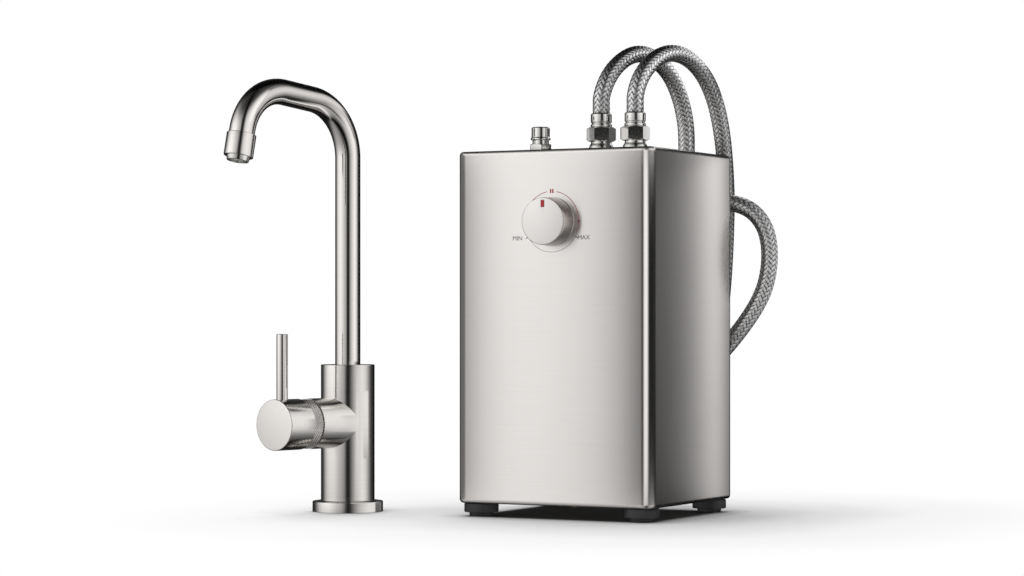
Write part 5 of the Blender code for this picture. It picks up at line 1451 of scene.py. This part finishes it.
def floor_finish():
    """Pale matt floor that keeps the object's shadow, with a painted shadow in its colour that is darkest right
    under the object, and that brightens to the room's white away from it."""
    made, tree, shader = finish_material("pale_floor", (0.92, 0.92, 0.92), 1.0)
    where = on_object(tree)
    gaps = []
    for middle, half, quickness in FOOTPRINTS:
        beyond = reckon("MAXIMUM", reckon("ABSOLUTE", where - middle) - half, (0.0, 0.0, 0.0))
        gaps.append(reckon("LENGTH", beyond)["Value"] * quickness)
    gap = reckon("MINIMUM", *gaps)
    # The base colour holds the painted shadow under the object.
    plug(shader, {"Base Color": level_ramp(gap, FLOOR_PAINTED_SHADOW), "Specular IOR Level": 0.0})
    rays = place_node(tree, "LightPath")
    seen = reckon("MAXIMUM", rays["Is Camera Ray"], rays["Is Transmission Ray"])
    white = place_node(tree, "Emission", {"Color": WHITE, "Strength": 1.0})
    mixed = place_node(tree, "MixShader", {
        "Fac": level_ramp(gap, FLOOR_FADE) * seen, 1: Socket(shader.outputs[0]), 2: white,
    })
    plug(tree.nodes["Material Output"], {"Surface": mixed})
    return made


world = bpy.data.worlds.new("white_room")
bpy.context.scene.world = world
world.use_nodes = True
room = world.node_tree
room.nodes.clear()
heading = place_node(room, "TexCoord")["Generated"]
across, toward = (reckon("DOT_PRODUCT", heading, way)["Value"] for way in (VIEW_SIDE, VIEW_BACK))
swing = reckon("DEGREES", reckon("ARCTAN2", across, toward))
climb = reckon("DEGREES", reckon("ARCSINE", split(heading)["Z"]))
rays = place_node(room, "LightPath")
through = reckon("MAXIMUM", rays["Is Camera Ray"], rays["Is Transmission Ray"])
mirrored = rays["Is Glossy Ray"] * (level_ramp(swing, ROUND_LIGHT) * level_ramp(climb, HIGH_LIGHT))
unseen = 1.0 - reckon("MAXIMUM", through, rays["Is Glossy Ray"])
level = reckon("MULTIPLY_ADD", unseen, MATT_LIGHT, reckon("MAXIMUM", through, mirrored))
glow = place_node(room, "Background", {"Color": WHITE, "Strength": level})
place_node(room, "OutputWorld", {"Surface": glow})
floor = stage_plane(
    "floor", [(x * FLOOR_REACH, y * FLOOR_REACH, 0) for x, y in ((-1, -1), (1, -1), (1, 1), (-1, 1))],
    floor_finish(),
)
floor.visible_glossy = False
mirror_card("front_card", (-0.010, -0.10), (0.250, -0.10), 0.0, CARD_TOP, "X", [
    (-0.010, 0.01, 0.0), (0.015, 0.01, 0.02), (0.037, 0.01, 0.08), (0.056, 0.01, 0.16), (0.070, 0.01, 0.26),
    (0.082, 0.01, 0.40), (0.092, 0.01, 0.56), (0.100, 0.01, 0.74), (0.110, 0.01, 0.88), (0.130, 0.01, 0.92),
    (0.141, 0.02, 0.95), (0.150, 1.18), (0.196, 1.20), (0.214, 0.91), (0.232, 0.45), (0.250, 0.17),
], foot=0.82)
mirror_card("left_flag", (-0.05, 0.01), (-0.05, -0.185), 0.0, 0.285, "Y", [
    (-0.185, 0.15, 0.0), (-0.160, 0.15, 0.08), (-0.136, 0.15, 0.24), (-0.118, 0.15, 0.45), (-0.102, 0.15, 0.70),
    (-0.086, 0.15, 0.92), (-0.060, 0.14), (-0.040, 0.15), (-0.028, 0.22), (-0.018, 0.08), (0.010, 0.02),
])
for label, start, end in zip(("front", "middle", "back"), FLAG_PLACES, FLAG_PLACES[1:]):
    mirror_card(
        f"corner_flag_{label}", start, end, 0.0, CARD_TOP, "Y", [(-0.2, 0.01), (0.2, 0.01)], one_sided=False,
    )
mirror_card("side_card", (0.400, 0.165), (0.150, 0.165), 0.0, 0.34, "X", [
    (0.150, 0.08), (0.161, 0.08), (0.168, 0.18), (0.175, 0.60), (0.181, 1.10), (0.188, 0.92), (0.196, 0.54),
    (0.204, 0.30), (0.214, 0.16), (0.228, 0.08), (0.260, 0.06), (0.400, 0.06),
], foot=0.62)
mirror_card("arch_card", (0.65, 0.35), (0.06, 0.35), 0.34, 0.58, "Z", [
    (0.34, 1.2, 0.0), (0.38, 1.45), (0.48, 1.4), (0.58, 1.1, 0.0),
])
for name, x, low, top, stops, steep, swung in (
    ("riser_card", -0.085, 0.1135, 0.284, RISER_STOPS, None, None),
    ("bend_card", -0.085, 0.284, 0.318, RISER_STOPS, (0.30, 0.50), (0.36, 0.50)),
    ("bend_edge_card", -0.0848, 0.284, 0.318, RISER_STOPS, (0.30, 0.50), (0.76, 0.68)),
    ("barrel_card_low", -0.085, -0.01, 0.040, BARREL_STOPS, (0.30, 0.50), None),
    ("barrel_card_high", -0.085, 0.092, 0.1135, BARREL_STOPS, (0.30, 0.50), None),
    ("barrel_card_middle", -0.085, 0.040, 0.092, BARREL_STOPS, (0.30, 0.50), (0.12, 0.34)),
    ("barrel_card_edge", -0.0848, 0.040, 0.092, BARREL_STOPS, (0.20, 0.34), (0.70, 0.58)),
):
    mirror_card(name, (x, -0.062), (x, 0.055), low, top, "Y", stops, steep=steep, swung=swung)
mirror_card("faucet_card", (-0.052, -0.08), (-0.052, 0.14), -0.035, 0.39, "Z", [
    (-0.035, 0.10, 0.0), (-0.030, 0.10), (0.005, 0.18), (0.022, 0.34), (0.032, 0.50), (0.042, 0.70),
    (0.052, 0.86), (0.062, 0.98), (0.075, 1.03), (0.090, 1.06), (0.108, 1.03), (0.121, 0.95), (0.138, 0.83),
    (0.160, 0.62), (0.193, 0.38), (0.225, 0.20), (0.250, 0.08), (0.265, 0.05), (0.380, 0.05), (0.390, 0.05, 0.0),
])
mirror_card("run_card", (-0.054, -0.08), (-0.054, 0.14), 0.262, 0.388, "Z", [
    (0.262, 0.06), (0.272, 0.14), (0.290, 0.40), (0.303, 0.62), (0.318, 0.84), (0.334, 0.88), (0.352, 0.74),
    (0.372, 0.40), (0.388, 0.10),
], steep=(0.54, 0.65))
mirror_card("nozzle_card", (-0.100, -0.138), (-0.100, -0.060), 0.235, 0.296, "Y", [
    (-0.138, 1.10, 0.0), (-0.126, 1.10), (-0.113, 1.00), (-0.105, 0.80), (-0.098, 0.35), (-0.090, 0.05),
    (-0.060, 0.02),
])
mirror_card(
    "edge_cloth", (0.230, 0.124), (0.132, 0.124), 0.2705, 0.345, "Z", [(0.26, 0.02), (0.37, 0.02)],
    steep=(0.20, 0.08),
)
soft_box("left_box", (-0.9, -1.1, 1.1), (0, 0, 0.15), 7.5)
soft_box("top_box", (-0.35, 0.45, 1.4), (0, 0, 0.1), 9.5)

bpy.context.scene.view_settings.view_transform = "Standard"
